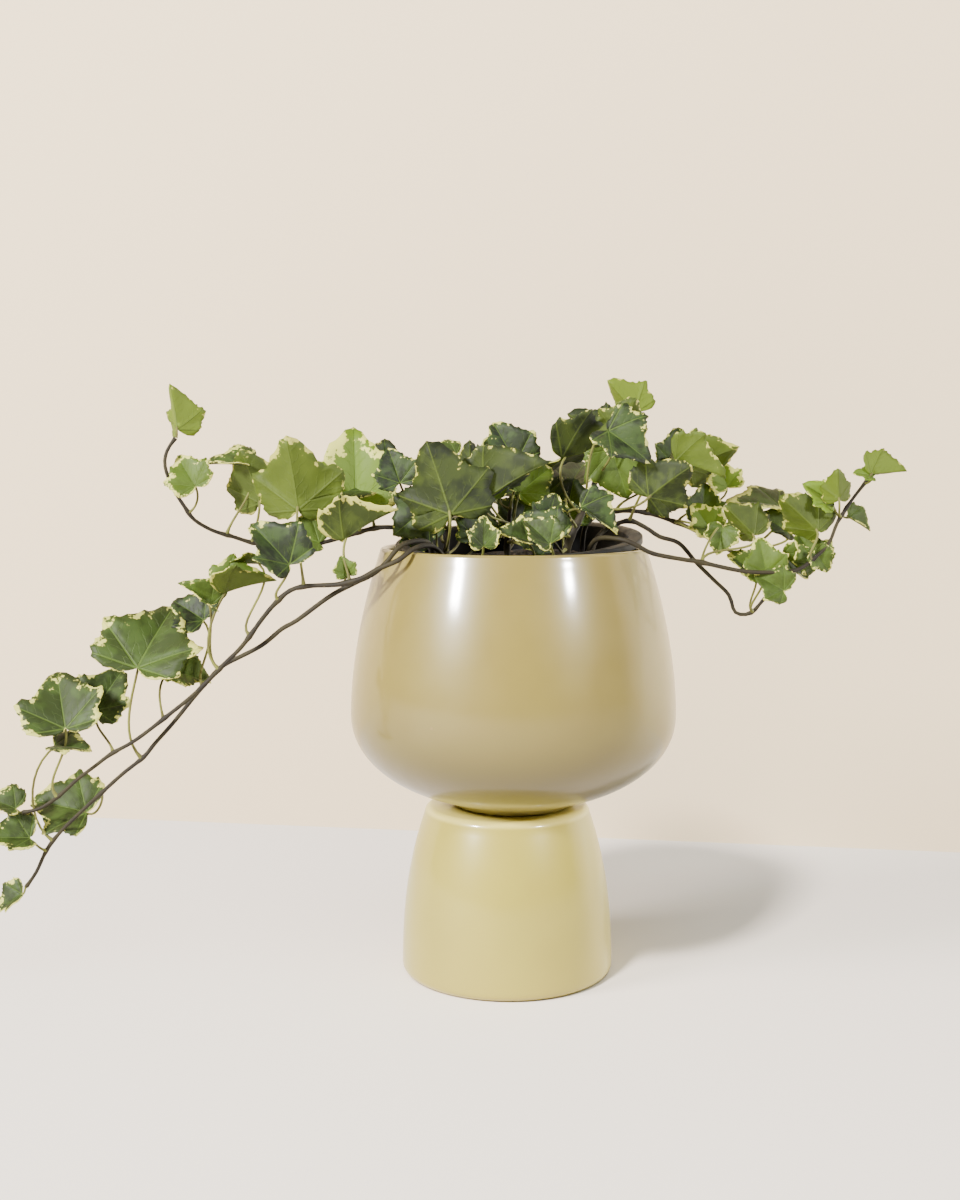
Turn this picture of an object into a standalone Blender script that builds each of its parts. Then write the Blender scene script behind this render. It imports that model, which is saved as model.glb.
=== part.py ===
"""Variegated ivy in a black nursery pot, standing in a two-piece stoneware planter.

Metres, +Z up. The origin is the centre of the pedestal's flat base, and -Y is the planter's front.
The plant is laid out from the planter's mouth: routes are millimetres from the centre of the rim.
"""

import math

import bmesh
import bpy
from mathutils import Matrix, Vector
from mathutils.geometry import interpolate_bezier

MM = 0.001
GAP = 0.3 * MM  # between pieces that touch
SIDES = 36  # facets round a turned piece

# Pedestal: a hollow-cast drum.
PEDESTAL_HEIGHT = 79 * MM
PEDESTAL_BASE_RADIUS = 49.5 * MM
PEDESTAL_TOP_RADIUS = 37.5 * MM
PEDESTAL_BULGE = 2.44  # exponent of the side's curve: it is steep at the base and leans in at the top
PEDESTAL_WALL = 6 * MM
PEDESTAL_BASE_FILLET = 4 * MM
PEDESTAL_SHOULDER = 3.5 * MM
VENT_RADIUS = 3 * MM
VENT_OFFSET = 25 * MM

# Bowl: it stands on the pedestal, a little off its centre.
POT_HEIGHT = 200 * MM
BOWL_SHIFT = 2.7 * MM
RIM_RADIUS = 61.2 * MM
BELLY_RADIUS = 75.7 * MM
BELLY_HEIGHT = 122.8 * MM
BOWL_SHOULDER = 1.78  # exponent of the curve from belly to rim
BOWL_SQUARENESS = 2.11  # of the superellipse under the belly: 2 is a plain ellipse
BOWL_WALL = 3.5 * MM
BOWL_FLOOR = 5 * MM
FOOT_RADIUS = 27 * MM
FOOT_WIDTH = 5 * MM
FOOT_HEIGHT = 2.2 * MM

# Layout: what grows out of the bowl, or leans in it, grows and shrinks with its rim.
LAYOUT_RIM = 61.2 * MM  # the rim that the places were chosen for
SPREAD = RIM_RADIUS / LAYOUT_RIM

# Nursery pot: its lip lies on the bowl's rim at the back and dips inside it at the front.
NURSERY_RIM_GAP = 0.2 * MM  # between the lip and the inside of the bowl's rim, were they level and centred
NURSERY_LIP_RADIUS = RIM_RADIUS - BOWL_WALL - NURSERY_RIM_GAP
NURSERY_LIP_WIDTH = 5.2 * MM
NURSERY_RADIUS = NURSERY_LIP_RADIUS - NURSERY_LIP_WIDTH
NURSERY_BASE_RADIUS = 38 * MM
NURSERY_WALL = 1.2 * MM
NURSERY_LIP_DEPTH = 3.5 * MM
NURSERY_TILT = math.radians(6)
NURSERY_RAISED_TOWARDS = math.radians(68)  # compass angle from +X
NURSERY_PLACE = Vector((2.5 * MM, 4.3 * MM, 3.7 * MM)) * SPREAD  # lip centre from the rim's centre
NURSERY_FLOOR_GAP = 11.4 * MM  # between the middle of its base and the bowl's floor
NURSERY_HEIGHT = POT_HEIGHT + NURSERY_PLACE.z - PEDESTAL_HEIGHT - GAP - BOWL_FLOOR - NURSERY_FLOOR_GAP
DRAIN_HOLES = 5
DRAIN_RADIUS = 4 * MM
DRAIN_CIRCLE = 24 * MM
SOIL_DROP = 14 * MM  # soil's edge below the lip
SOIL_CROWN = 3 * MM  # rise of the soil's middle over its edge

# Plant.
STEP = 8 * MM  # between points of a stem
STALK_RADIUS = 0.6 * MM
BLADE_THICKNESS = 0.6 * MM
BLADE_SEAT = 0.05  # where the stalk meets the blade, as a share of its length
BLADE_HUB = 0.10
BLADE_DROOP = 0.12
STALK_THROUGH = 0.5 * MM  # the knuckle that the stalk leaves on the blade's face

# The right half of a blade's outline, from the notch to the tip, for a blade of length 1.
HALF_OUTLINE = [(0.20, -0.10), (0.52, -0.04), (0.44, 0.14), (0.66, 0.44), (0.31, 0.46), (0.16, 0.74)]
TIP = (0.0, 1.0)
NOTCH = (0.0, 0.0)

# Each stem: its radius in mm at the root and at the tip, the root's place on the soil, then its route.
STEMS = {
    "crown_left": (1.3, 0.8, (-33, -13), [(-31, -9, -2), (-30, -5, 7), (-29, 0, 15)]),
    "crown_middle": (1.3, 0.8, (-6, -6), [(-3, -2, -1), (-2, 2, 12), (-1, 5, 20)]),
    "crown_right": (1.7, 1.0, (20, -2), [(26, 0, 3), (31, 2, 14), (36, 5, 25), (40, 8, 35)]),
    "upper_left": (1.2, 0.8, (-38, 6), [
        (-39, 8, -4), (-49, 15, 6.5), (-59, 20, 8), (-68, 22, 7), (-78, 22, 4), (-89, 20, 1),
        (-98, 18, -1), (-111, 16, -1), (-123, 14, 1), (-132, 12, 4), (-141, 10, 7), (-149, 8, 12),
        (-153, 6, 18), (-158, 4, 27), (-161, 2, 37), (-160, 2, 44), (-156, 2, 50)]),
    "lower_left": (1.2, 0.8, (-28, -24), [
        (-35, -30, 1), (-43, -42, 2.3), (-51, -46, -3), (-60, -44, -7), (-67, -42, -11),
        (-77, -39, -14), (-91, -37, -15), (-99, -36, -17), (-106, -35, -23), (-112, -34, -30),
        (-121, -33, -42), (-130, -32, -51), (-142, -32, -63), (-153, -31, -72), (-170, -29, -85),
        (-182, -27, -92), (-190, -26, -98), (-198, -25, -104), (-207, -24, -112), (-216, -23, -118),
        (-224, -22, -120)]),
    "trailing_left": (1.2, 0.8, (-40, -6), [
        (-38, -20, 2.5), (-49, -38, 3.5), (-57, -41, -5), (-63, -38, -10), (-71, -34, -14),
        (-82, -31, -20), (-97, -29, -31), (-104, -28, -35), (-114, -27, -43), (-131, -26, -52),
        (-138, -26, -59), (-145, -25, -67), (-154, -25, -78), (-163, -24, -88), (-168, -24, -94),
        (-178, -23, -102), (-188, -22, -111), (-200, -21, -122), (-209, -20, -131),
        (-215, -19, -139), (-220, -18, -149), (-225, -17, -156)]),
    "right": (1.2, 0.7, (29, -12), [
        (36, -21, 4), (46, -34, 5.5), (53, -35, 3), (61, -33, -1), (76, -30, -4), (82, -28, -5),
        (100, -26, -9), (113, -24, -10), (127, -22, -9), (136, -20, -3), (142, -18, 3),
        (146, -16, 12), (152, -14, 21), (160, -12, 31)]),
    "drooping_right": (1.2, 0.8, (32, -4), [
        (40, 5, 5), (53, 9, 11.5), (62, 12, 8.5), (69, 12, 4), (78, 10, 1), (86, 8, -8),
        (94, 6, -16), (101, 5, -23), (104, 4, -31), (111, 2, -31), (118, 0, -23), (125, -2, -20)]),
    "back_right": (1.2, 0.8, (30, 14), [
        (35, 20, 9), (46, 24, 15), (62, 28, 15), (76, 30, 11), (88, 30, 6), (100, 28, -1),
        (112, 26, -8), (122, 22, -17)]),
}

# Each leaf: its stem, how far along that it grows, its stalk from the stem to the blade in mm, the
# way that its tip points, the way that its upper face looks, the blade's length in mm and its fold
# in degrees.
LEAVES = {
    "upper_left_leaf_1": ("upper_left", 1.00, (1, 0, 5), (-0.1, 0.1, 1), (0.3, 1, 0.3), 21, 50),
    "upper_left_leaf_2": ("upper_left", 0.78, (4, -5, 13), (-0.5, 0.2, 0.8), (-0.2, -1, 0.6), 18, 20),
    "upper_left_leaf_3": ("upper_left", 0.59, (5, -6, 20), (-0.3, -0.1, 1), (0.2, 1, 0.5), 27, 20),
    "upper_left_leaf_4": ("upper_left", 0.29, (-1, -10, 15), (-0.05, 0.2, 1), (0, -1, 0.3), 38, 30),
    "lower_left_leaf_1": ("lower_left", 0.27, (-2, 5, 19), (0.8, -0.2, 0.6), (-0.5, 0.5, 0.8), 29, 45),
    "lower_left_leaf_2": ("lower_left", 0.35, (-3, 6, 35), (-0.1, -0.15, 1), (0.15, 1, 0.25), 34, 25),
    "lower_left_leaf_3": ("lower_left", 0.40, (5, -7, 17), (-0.65, 0.05, 0.75), (0.1, -1, 0.7), 25, 40),
    "lower_left_leaf_4": ("lower_left", 0.48, (4, 3, 32), (-1, -0.1, 0.1), (0, 0.1, 1), 15, 30),
    "lower_left_leaf_5": ("lower_left", 0.56, (-3, -4, 30), (-0.6, -0.3, 0.6), (0.3, -0.7, 0.7), 17, 50),
    "lower_left_leaf_6": ("lower_left", 0.60, (-3, 18, 28), (-0.8, 0.3, 0.5), (0, -0.9, 0.7), 19, 20),
    "lower_left_leaf_7": ("lower_left", 0.69, (1, 18, 19), (0.9, 0.1, -0.2), (0.1, -0.6, 1), 19, 20),
    "lower_left_leaf_8": ("lower_left", 0.80, (-12, 19, 17), (0.4, 0.3, 0.7), (0, -1, 0.6), 23, 20),
    "lower_left_leaf_9": ("lower_left", 0.93, (6, -6, 34), (-0.2, 0.4, 0.6), (0, -0.8, 0.7), 30, 20),
    "lower_left_leaf_10": ("lower_left", 1.00, (-4, 0, 2), (-0.9, 0, 0.4), (0.3, -0.5, 0.9), 16, 30),
    "trailing_left_leaf_1": ("trailing_left", 0.71, (1, -6, 44), (0.35, 0.6, 0.8), (0, -0.8, 0.7), 37, 15),
    "trailing_left_leaf_2": (
        "trailing_left", 0.80, (-12, 16, -12), (-0.9, 0.1, 0.2), (0.1, -0.7, 0.8), 28, 15),
    "trailing_left_leaf_3": ("trailing_left", 0.93, (-6, -8, 8), (-0.9, -0.3, 0.1), (0, -0.6, 0.9), 20, 25),
    "trailing_left_leaf_4": (
        "trailing_left", 1.00, (-3, 0, -4), (-0.7, 0.1, -0.5), (-0.2, -0.6, 0.8), 15, 30),
    "crown_leaf_1": ("crown_left", 0.74, (-22, -12, 22), (-0.3, 0.1, 0.9), (0, -1, 0.4), 17, 20),
    "crown_leaf_2": ("crown_left", 0.38, (2, -22, 19), (-0.3, 0.1, 0.95), (0.1, 1, 0.3), 34, 25),
    "crown_leaf_3": ("crown_left", 0.20, (-9, -7, 25), (-0.75, 0, -0.6), (-0.1, -1, 0.3), 21, 10),
    "crown_leaf_4": ("crown_left", 0.96, (9, -5, 17), (0, 0.2, 1), (0, 1, 0.6), 19, 40),
    "crown_leaf_5": ("crown_middle", 0.91, (2, 0, 22), (-0.5, 0.1, 0.9), (0, -1, 0.4), 22, 25),
    "crown_leaf_6": ("crown_middle", 0.66, (-10, -24, 13), (0.8, -0.1, 0.6), (-0.3, 0.8, 0.6), 34, 45),
    "crown_leaf_7": ("crown_left", 0.31, (17, -39, 7), (0, 0.2, 1), (0, -1, 0.5), 14, 45),
    "crown_leaf_8": ("crown_middle", 0.37, (17, -48, 3), (-0.6, 0.2, 0.6), (0, -0.9, 0.7), 16, 40),
    "crown_leaf_9": ("crown_right", 0.28, (-12, -17, 8), (0.3, 0.2, 0.9), (0, -1, 0.4), 15, 40),
    "crown_leaf_10": ("crown_right", 0.54, (-8, -3, 26), (0.8, 0.2, 0.2), (0, 0.6, 0.8), 33, 25),
    "crown_leaf_11": ("crown_right", 0.89, (5, 12, 20), (-0.8, 0.2, 0.6), (0, 0.8, 0.7), 22, 40),
    "crown_leaf_12": ("crown_right", 0.97, (17, 8, 29), (-0.7, 0.1, 0.9), (0.3, 0.8, 0.5), 20, 40),
    "crown_leaf_13": ("crown_right", 0.16, (-8, -26, 6), (-0.7, 0.2, 0.6), (0, -1, 0.4), 20, 25),
    "crown_leaf_14": ("crown_right", 0.66, (9, -20, 32), (0.6, -0.2, -0.4), (-0.2, -0.8, 0.7), 24, 30),
    "crown_leaf_15": ("crown_right", 0.76, (10, -3, 19), (0.3, -0.1, -1), (-0.3, -1, 0.2), 24, 20),
    "crown_leaf_16": ("crown_right", 0.63, (28, -20, 5), (0.6, -0.1, 0.5), (0.1, 1, 0.3), 24, 20),
    "crown_leaf_17": ("crown_right", 0.39, (1, -34, 10), (0.85, -0.2, -0.5), (0.1, -0.7, 0.8), 20, 45),
    "right_leaf_1": ("right", 0.44, (25, 14, 12), (-0.6, -0.1, 0.6), (0.1, 1, 0.5), 20, 45),
    "right_leaf_2": ("right", 0.74, (2, 2, 14), (-0.75, 0, 0.7), (0, 1, 0.4), 24, 45),
    "right_leaf_3": ("right", 0.88, (-3, -8, 9), (-0.1, -0.1, 1), (0, 1, 0.4), 14, 45),
    "right_leaf_4": ("right", 0.91, (4, 11, -5), (0.8, 0.1, -0.4), (0, -0.6, 0.9), 13, 35),
    "right_leaf_5": ("right", 1.00, (2, 0, 3), (0.95, 0.1, 0.1), (0, 0.8, 0.6), 17, 50),
    "drooping_right_leaf_1": (
        "drooping_right", 0.25, (20, -19, 28), (0.95, -0.2, -0.2), (0, 0.5, 0.9), 24, 50),
    "drooping_right_leaf_2": ("drooping_right", 0.86, (-1, -10, 19), (-0.8, 0, 0.6), (0, -1, 0.6), 16, 45),
    "drooping_right_leaf_3": (
        "drooping_right", 1.00, (-1, -6, 16), (0.6, -0.1, -0.5), (0, -0.9, 0.6), 16, 45),
    "back_right_leaf_1": ("back_right", 0.29, (26, -14, 23), (0.1, 0.1, 1), (0, -1, 0.3), 18, 30),
    "back_right_leaf_2": ("back_right", 0.42, (20, -12, 22), (0.9, 0, 0.5), (0, 0.9, 0.6), 25, 20),
    "back_right_leaf_3": ("back_right", 0.55, (11, -14, 3), (0.1, 0.2, 1), (0, -1, 0.4), 18, 40),
    "back_right_leaf_4": ("back_right", 0.87, (19, -12, 14), (-0.85, 0.1, 0.5), (0, -0.9, 0.8), 18, 35),
}
YOUNG_LEAVES = ("upper_left_leaf_1", "right_leaf_3", "right_leaf_5", "crown_leaf_12")


def clear_scene():
    for obj in list(bpy.data.objects):
        bpy.data.objects.remove(obj)


def material(name, colour, roughness, metallic=0.0):
    made = bpy.data.materials.new(name)
    made.use_nodes = True
    shader = made.node_tree.nodes["Principled BSDF"]
    shader.inputs["Base Color"].default_value = (*colour, 1)
    shader.inputs["Roughness"].default_value = roughness
    shader.inputs["Metallic"].default_value = metallic
    return made


def add_object(name, data, finish=None, parent=None):
    obj = bpy.data.objects.new(name, data)
    bpy.context.scene.collection.objects.link(obj)
    if finish:
        data.materials.append(finish)
    obj.parent = parent
    return obj


def hide(obj):
    """Marks a cutter or a guide, which is no piece of the object."""
    obj.hide_render = True
    obj.display_type = "WIRE"
    return obj


def turned(name, profile, finish=None, parent=None):
    """A solid of revolution about Z. The profile starts and ends on the axis."""
    bm = bmesh.new()
    points = [bm.verts.new((r, 0, z)) for r, z in profile]
    edges = [bm.edges.new(pair) for pair in zip(points, points[1:])]
    bmesh.ops.spin(
        bm, geom=points + edges, cent=(0, 0, 0), axis=(0, 0, 1), angle=math.tau, steps=SIDES
    )
    bmesh.ops.remove_doubles(bm, verts=bm.verts, dist=1e-6)
    bmesh.ops.recalc_face_normals(bm, faces=bm.faces)
    mesh = bpy.data.meshes.new(name)
    bm.to_mesh(mesh)
    bm.free()
    mesh.shade_smooth()
    mesh.set_sharp_from_angle(angle=math.radians(35))
    return add_object(name, mesh, finish, parent)


def drill(name, radius, low, high, parent=None):
    """A cylinder on the Z axis from low to high, which cuts a round hole."""
    return turned(name, [(0, low), (radius, low), (radius, high), (0, high)], parent=parent)


def cut(obj, cutter, operation="DIFFERENCE"):
    change = obj.modifiers.new(cutter.name, "BOOLEAN")
    change.operation = operation
    change.object = hide(cutter)


def arc(centre, radius, start, end, steps):
    """Points of an arc in the profile plane, with its angles in degrees from outwards."""
    angles = [math.radians(start + (end - start) * i / steps) for i in range(steps + 1)]
    return [(centre[0] + radius * math.cos(a), centre[1] + radius * math.sin(a)) for a in angles]


def pedestal_side(inset, low, high, steps=8):
    """The pedestal's side from low to high, moved in by inset."""
    points = []
    for i in range(steps + 1):
        z = low + (high - low) * i / steps
        lean = (PEDESTAL_BASE_RADIUS - PEDESTAL_TOP_RADIUS) * (z / PEDESTAL_HEIGHT) ** PEDESTAL_BULGE
        points.append((PEDESTAL_BASE_RADIUS - lean - inset, z))
    return points


def pedestal_profile():
    side = pedestal_side(0, PEDESTAL_BASE_FILLET, PEDESTAL_HEIGHT - PEDESTAL_SHOULDER)
    base = arc((side[0][0] - PEDESTAL_BASE_FILLET, PEDESTAL_BASE_FILLET), PEDESTAL_BASE_FILLET, -90, 0, 3)
    top = (side[-1][0] - PEDESTAL_SHOULDER, side[-1][1])
    shoulder = arc(top, PEDESTAL_SHOULDER, 0, 90, 3)
    return [(0, 0), *base[:-1], *side, *shoulder[1:], (0, PEDESTAL_HEIGHT)]


def pedestal_hollow():
    low, high = PEDESTAL_WALL, PEDESTAL_HEIGHT - PEDESTAL_WALL
    side = pedestal_side(PEDESTAL_WALL, low, high, 5)
    return [(0, low), *side, (0, high)]


def make_pedestal(finish):
    pedestal = turned("pedestal", pedestal_profile(), finish)
    cut(pedestal, turned("pedestal_hollow", pedestal_hollow()))
    vent = drill("vent", VENT_RADIUS, -GAP, 2 * PEDESTAL_WALL)
    vent.location.x = VENT_OFFSET
    cut(pedestal, vent)


def upper_wall(inset, top, steps):
    """The bowl's wall from just over the belly to top, moved in by inset."""
    rise = POT_HEIGHT - BELLY_HEIGHT
    points = []
    for i in range(1, steps + 1):
        z = BELLY_HEIGHT + (top - BELLY_HEIGHT) * i / steps
        lean = (BELLY_RADIUS - RIM_RADIUS) * ((z - BELLY_HEIGHT) / rise) ** BOWL_SHOULDER
        points.append((BELLY_RADIUS - lean - inset, z))
    return points


def lower_wall(inset, bottom, inner_radius, steps):
    """The bowl's underside from inner_radius up to the belly, a superellipse moved in by inset."""
    reach, depth, power = BELLY_RADIUS - inset, BELLY_HEIGHT - bottom, 2 / BOWL_SQUARENESS
    start = math.acos((inner_radius / reach) ** (1 / power))
    angles = [start * (1 - i / steps) for i in range(steps + 1)]
    return [(reach * math.cos(a) ** power, BELLY_HEIGHT - depth * math.sin(a) ** power) for a in angles]


def bowl_profile():
    seat = PEDESTAL_HEIGHT + GAP
    underside = seat + FOOT_HEIGHT / 2
    lip = BOWL_WALL / 2
    outside = lower_wall(0, seat, FOOT_RADIUS, 8) + upper_wall(0, POT_HEIGHT - lip, 7)
    inside = lower_wall(BOWL_WALL, seat + BOWL_FLOOR, FOOT_RADIUS, 6)
    inside += upper_wall(BOWL_WALL, POT_HEIGHT - lip, 6)
    lip_round = arc((outside[-1][0] - lip, POT_HEIGHT - lip), lip, 0, 180, 4)
    foot_inside = FOOT_RADIUS - FOOT_WIDTH
    foot = [(0, underside), (foot_inside, underside), (foot_inside, seat), (FOOT_RADIUS, seat)]
    return [*foot, *outside, *lip_round[1:-1], *inside[::-1], (0, inside[0][1])]


def make_bowl(finish):
    bowl = turned("bowl", bowl_profile(), finish)
    bowl.location.x = BOWL_SHIFT


def nursery_frame():
    """An empty at the centre of the nursery pot's lip, tilted as the pot is."""
    frame = bpy.data.objects.new("nursery_frame", None)
    bpy.context.scene.collection.objects.link(frame)
    axis = Vector((-math.sin(NURSERY_RAISED_TOWARDS), math.cos(NURSERY_RAISED_TOWARDS), 0))
    place = Vector((BOWL_SHIFT, 0, POT_HEIGHT)) + NURSERY_PLACE
    frame.matrix_world = Matrix.Translation(place) @ Matrix.Rotation(-NURSERY_TILT, 4, axis)
    return frame


def nursery_radius(depth):
    """The nursery pot's outer radius at a depth below its lip."""
    taper = (NURSERY_RADIUS - NURSERY_BASE_RADIUS) / NURSERY_HEIGHT
    return NURSERY_RADIUS - taper * depth


def make_nursery_pot(finish, frame):
    floor = NURSERY_WALL - NURSERY_HEIGHT
    profile = [
        (0, -NURSERY_HEIGHT),
        (NURSERY_BASE_RADIUS, -NURSERY_HEIGHT),
        (nursery_radius(NURSERY_LIP_DEPTH), -NURSERY_LIP_DEPTH),
        (NURSERY_LIP_RADIUS, -NURSERY_LIP_DEPTH),
        (NURSERY_LIP_RADIUS, -NURSERY_WALL),
        (NURSERY_LIP_RADIUS - NURSERY_WALL, 0),
        (NURSERY_RADIUS - NURSERY_WALL, 0),
        (nursery_radius(-floor) - NURSERY_WALL, floor),
        (0, floor),
    ]
    pot = turned("nursery_pot", profile, finish, frame)
    for i in range(DRAIN_HOLES):
        low, high = -NURSERY_HEIGHT - NURSERY_WALL, floor + NURSERY_WALL
        hole = drill(f"drain_{i}", DRAIN_RADIUS, low, high, frame)
        turn = math.tau * i / DRAIN_HOLES
        hole.location = (DRAIN_CIRCLE * math.cos(turn), DRAIN_CIRCLE * math.sin(turn), 0)
        cut(pot, hole)


def soil_top(radius):
    """Height of the soil in the nursery pot's frame."""
    edge = nursery_radius(SOIL_DROP)
    return SOIL_CROWN * (1 - (radius / edge) ** 2) - SOIL_DROP


def make_soil(finish, frame):
    floor = NURSERY_WALL + GAP - NURSERY_HEIGHT
    clearance = NURSERY_WALL + GAP
    low_radius, edge = nursery_radius(-floor) - clearance, nursery_radius(SOIL_DROP) - clearance
    rings = 5
    surface = [(edge * i / rings, soil_top(edge * i / rings)) for i in range(rings, 0, -1)]
    turned("soil", [(0, floor), (low_radius, floor), *surface, (0, soil_top(0))], finish, frame)


def smooth_path(points):
    """Points about STEP apart on a smooth curve through the given ones."""
    path = [points[0]]
    for i, (a, b) in enumerate(zip(points, points[1:])):
        before, after = points[max(i - 1, 0)], points[min(i + 2, len(points) - 1)]
        steps = max(1, round((b - a).length / STEP))
        path += interpolate_bezier(a, a + (b - before) / 6, b - (after - a) / 6, b, steps + 1)[1:]
    return path


def place_on(path, along):
    """The point at a share of a path's length, and the path's direction there."""
    left = along * sum((b - a).length for a, b in zip(path, path[1:]))
    for a, b in zip(path, path[1:]):
        length = (b - a).length
        if left <= length:
            break
        left -= length
    else:
        left = length
    direction = (b - a).normalized()
    return a + direction * left, direction


def laid_out(*place):
    """A place or a distance of the plant's layout, given in millimetres."""
    return Vector(place) * MM * SPREAD


def mouth_point(x, y, z):
    """A place given in millimetres from the centre of the rim."""
    return Vector((BOWL_SHIFT, 0, POT_HEIGHT)) + laid_out(x, y, z)


def tube(name, path, radii, finish=None, roundness=1):
    """A curve object that follows the path as a closed tube, of 6 sides or, at roundness 0, of 4."""
    curve = bpy.data.curves.new(name, "CURVE")
    curve.dimensions = "3D"
    curve.bevel_depth = 1.0
    curve.bevel_resolution = roundness
    curve.use_fill_caps = True
    spline = curve.splines.new("POLY")
    spline.points.add(len(path) - 1)
    for point, place, radius in zip(spline.points, path, radii):
        point.co = (*place, 1)
        point.radius = radius
    return add_object(name, curve, finish)


def make_stem(name, finish, frame):
    """Makes one stem, and returns its path and its radius at a share of its length."""
    thick, thin, (x, y), route = STEMS[name]
    thick, thin = thick * MM * SPREAD, thin * MM * SPREAD
    foot = laid_out(x, y, 0)
    foot.z = soil_top(foot.length) + thick + GAP
    root = frame.matrix_world @ foot
    path = smooth_path([root, *(mouth_point(*point) for point in route)])
    last = len(path) - 1
    tube(name, path, [thick + (thin - thick) * i / last for i in range(last + 1)], finish)
    return path, lambda along: thick + (thin - thick) * along


def blade_mesh(length, fold):
    """A lobed blade with its notch near the origin, its tip along +Y and its face along +Z."""
    hub = Vector((0, BLADE_HUB))
    left = [(-x, y) for x, y in HALF_OUTLINE[::-1]]
    outline = [Vector(p) for p in (NOTCH, *HALF_OUTLINE, TIP, *left)]
    rings = [outline, [hub + (p - hub) * 0.5 for p in outline]]
    lift, draw_in = math.sin(math.radians(fold)), math.cos(math.radians(fold))

    def shaped(p):
        y = p.y - BLADE_SEAT
        return Vector((p.x * draw_in, y, abs(p.x) * lift - BLADE_DROOP * y * abs(y))) * length

    bm = bmesh.new()
    outer, inner = ([bm.verts.new(shaped(p)) for p in ring] for ring in rings)
    centre = bm.verts.new(shaped(hub))
    for i in range(len(outer)):
        j = (i + 1) % len(outer)
        bm.faces.new((outer[i], outer[j], inner[j], inner[i]))
        bm.faces.new((inner[i], inner[j], centre))
    bmesh.ops.recalc_face_normals(bm, faces=bm.faces)
    bmesh.ops.triangulate(bm, faces=bm.faces)
    mesh = bpy.data.meshes.new("blade")
    bm.to_mesh(mesh)
    bm.free()
    return mesh


def stalk_path(foot, out, joint, tip, face, reach):
    """A leaf stalk that leaves the stem squarely and comes up under the blade."""
    under = joint - (face * 0.6 + tip * 0.8) * 0.4 * reach
    path = interpolate_bezier(foot, foot + out * 0.3 * reach, under, joint, 5)
    return [*path, joint + face * STALK_THROUGH]


def make_leaf(name, stems, finish):
    stem, along, stalk, tip, face, length, fold = LEAVES[name]
    path, radius_at = stems[stem]
    place, direction = place_on(path, along)
    stalk = laid_out(*stalk)
    tip = Vector(tip).normalized()
    side = tip.cross(Vector(face)).normalized()
    face = side.cross(tip)
    joint = place + stalk
    out = (stalk - stalk.project(direction)).normalized()
    foot = place + out * (radius_at(along) + GAP)
    if along == 1:
        out = direction
        foot = place + direction * GAP
    line = stalk_path(foot, out, joint, tip, face, (joint - foot).length)
    stalk_curve = hide(tube(f"{name}_stalk_guide", line, [STALK_RADIUS] * len(line), roundness=0))
    graph = bpy.context.evaluated_depsgraph_get()
    stalk_mesh = bpy.data.meshes.new_from_object(stalk_curve.evaluated_get(graph))
    bm = bmesh.new()
    bm.from_mesh(stalk_mesh)
    bmesh.ops.remove_doubles(bm, verts=bm.verts, dist=1e-7)
    bmesh.ops.recalc_face_normals(bm, faces=bm.faces)
    bm.to_mesh(stalk_mesh)
    bm.free()
    leaf = add_object(name, blade_mesh(length * MM * SPREAD, fold), finish)
    turn = Matrix((side, tip, face)).transposed().to_4x4()
    leaf.matrix_world = Matrix.Translation(joint) @ turn
    thick = leaf.modifiers.new("thickness", "SOLIDIFY")
    thick.thickness = BLADE_THICKNESS
    thick.offset = 0
    cut(leaf, add_object(f"{name}_stalk", stalk_mesh), "UNION")


def make_plant(frame):
    bark = material("ivy_stem", (0.13, 0.10, 0.05), 0.6)
    mature = material("ivy_leaf", (0.12, 0.22, 0.05), 0.45)
    young = material("ivy_leaf_young", (0.30, 0.40, 0.09), 0.45)
    stems = {name: make_stem(name, bark, frame) for name in STEMS}
    for name in LEAVES:
        make_leaf(name, stems, young if name in YOUNG_LEAVES else mature)


def main():
    clear_scene()
    make_pedestal(material("pedestal_glaze", (0.61, 0.53, 0.32), 0.25))
    make_bowl(material("bowl_glaze", (0.52, 0.44, 0.26), 0.25))
    frame = nursery_frame()
    make_nursery_pot(material("nursery_plastic", (0.012, 0.013, 0.013), 0.5), frame)
    make_soil(material("potting_soil", (0.03, 0.02, 0.013), 0.9), frame)
    bpy.context.view_layer.update()
    make_plant(frame)


main()
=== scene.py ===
# %% [markdown]
# # A potted ivy in a two-piece stoneware planter
#
# A trailing variegated ivy grows in a black nursery pot. The pot is set down in a glazed bowl, and the
# bowl stands on a glazed pedestal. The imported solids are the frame: this lesson builds the visible
# surfaces round them, in metres, with the front of the planter towards -Y.

# %% Load the frame
import math
import random

import bmesh
import bpy
from mathutils import Matrix, Vector
from mathutils.geometry import interpolate_bezier


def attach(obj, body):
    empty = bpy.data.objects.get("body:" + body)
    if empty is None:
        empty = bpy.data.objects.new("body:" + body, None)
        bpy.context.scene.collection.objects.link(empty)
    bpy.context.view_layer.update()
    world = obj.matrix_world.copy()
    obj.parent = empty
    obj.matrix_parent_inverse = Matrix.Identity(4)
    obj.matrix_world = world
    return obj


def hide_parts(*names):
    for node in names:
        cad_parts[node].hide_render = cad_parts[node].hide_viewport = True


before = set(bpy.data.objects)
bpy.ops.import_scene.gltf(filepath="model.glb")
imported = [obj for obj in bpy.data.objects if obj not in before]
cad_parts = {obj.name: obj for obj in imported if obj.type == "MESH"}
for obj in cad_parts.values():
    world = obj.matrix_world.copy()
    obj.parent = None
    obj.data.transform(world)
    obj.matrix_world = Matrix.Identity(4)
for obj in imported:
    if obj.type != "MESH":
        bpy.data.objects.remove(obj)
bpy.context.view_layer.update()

MM = 0.001

# %% [markdown]
# ## The camera
#
# The planter is seen from a little above its rim, as from a seat at the table. The lens is set by the
# height of its sensor, so that the planter keeps its size when the picture's shape changes.

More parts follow.
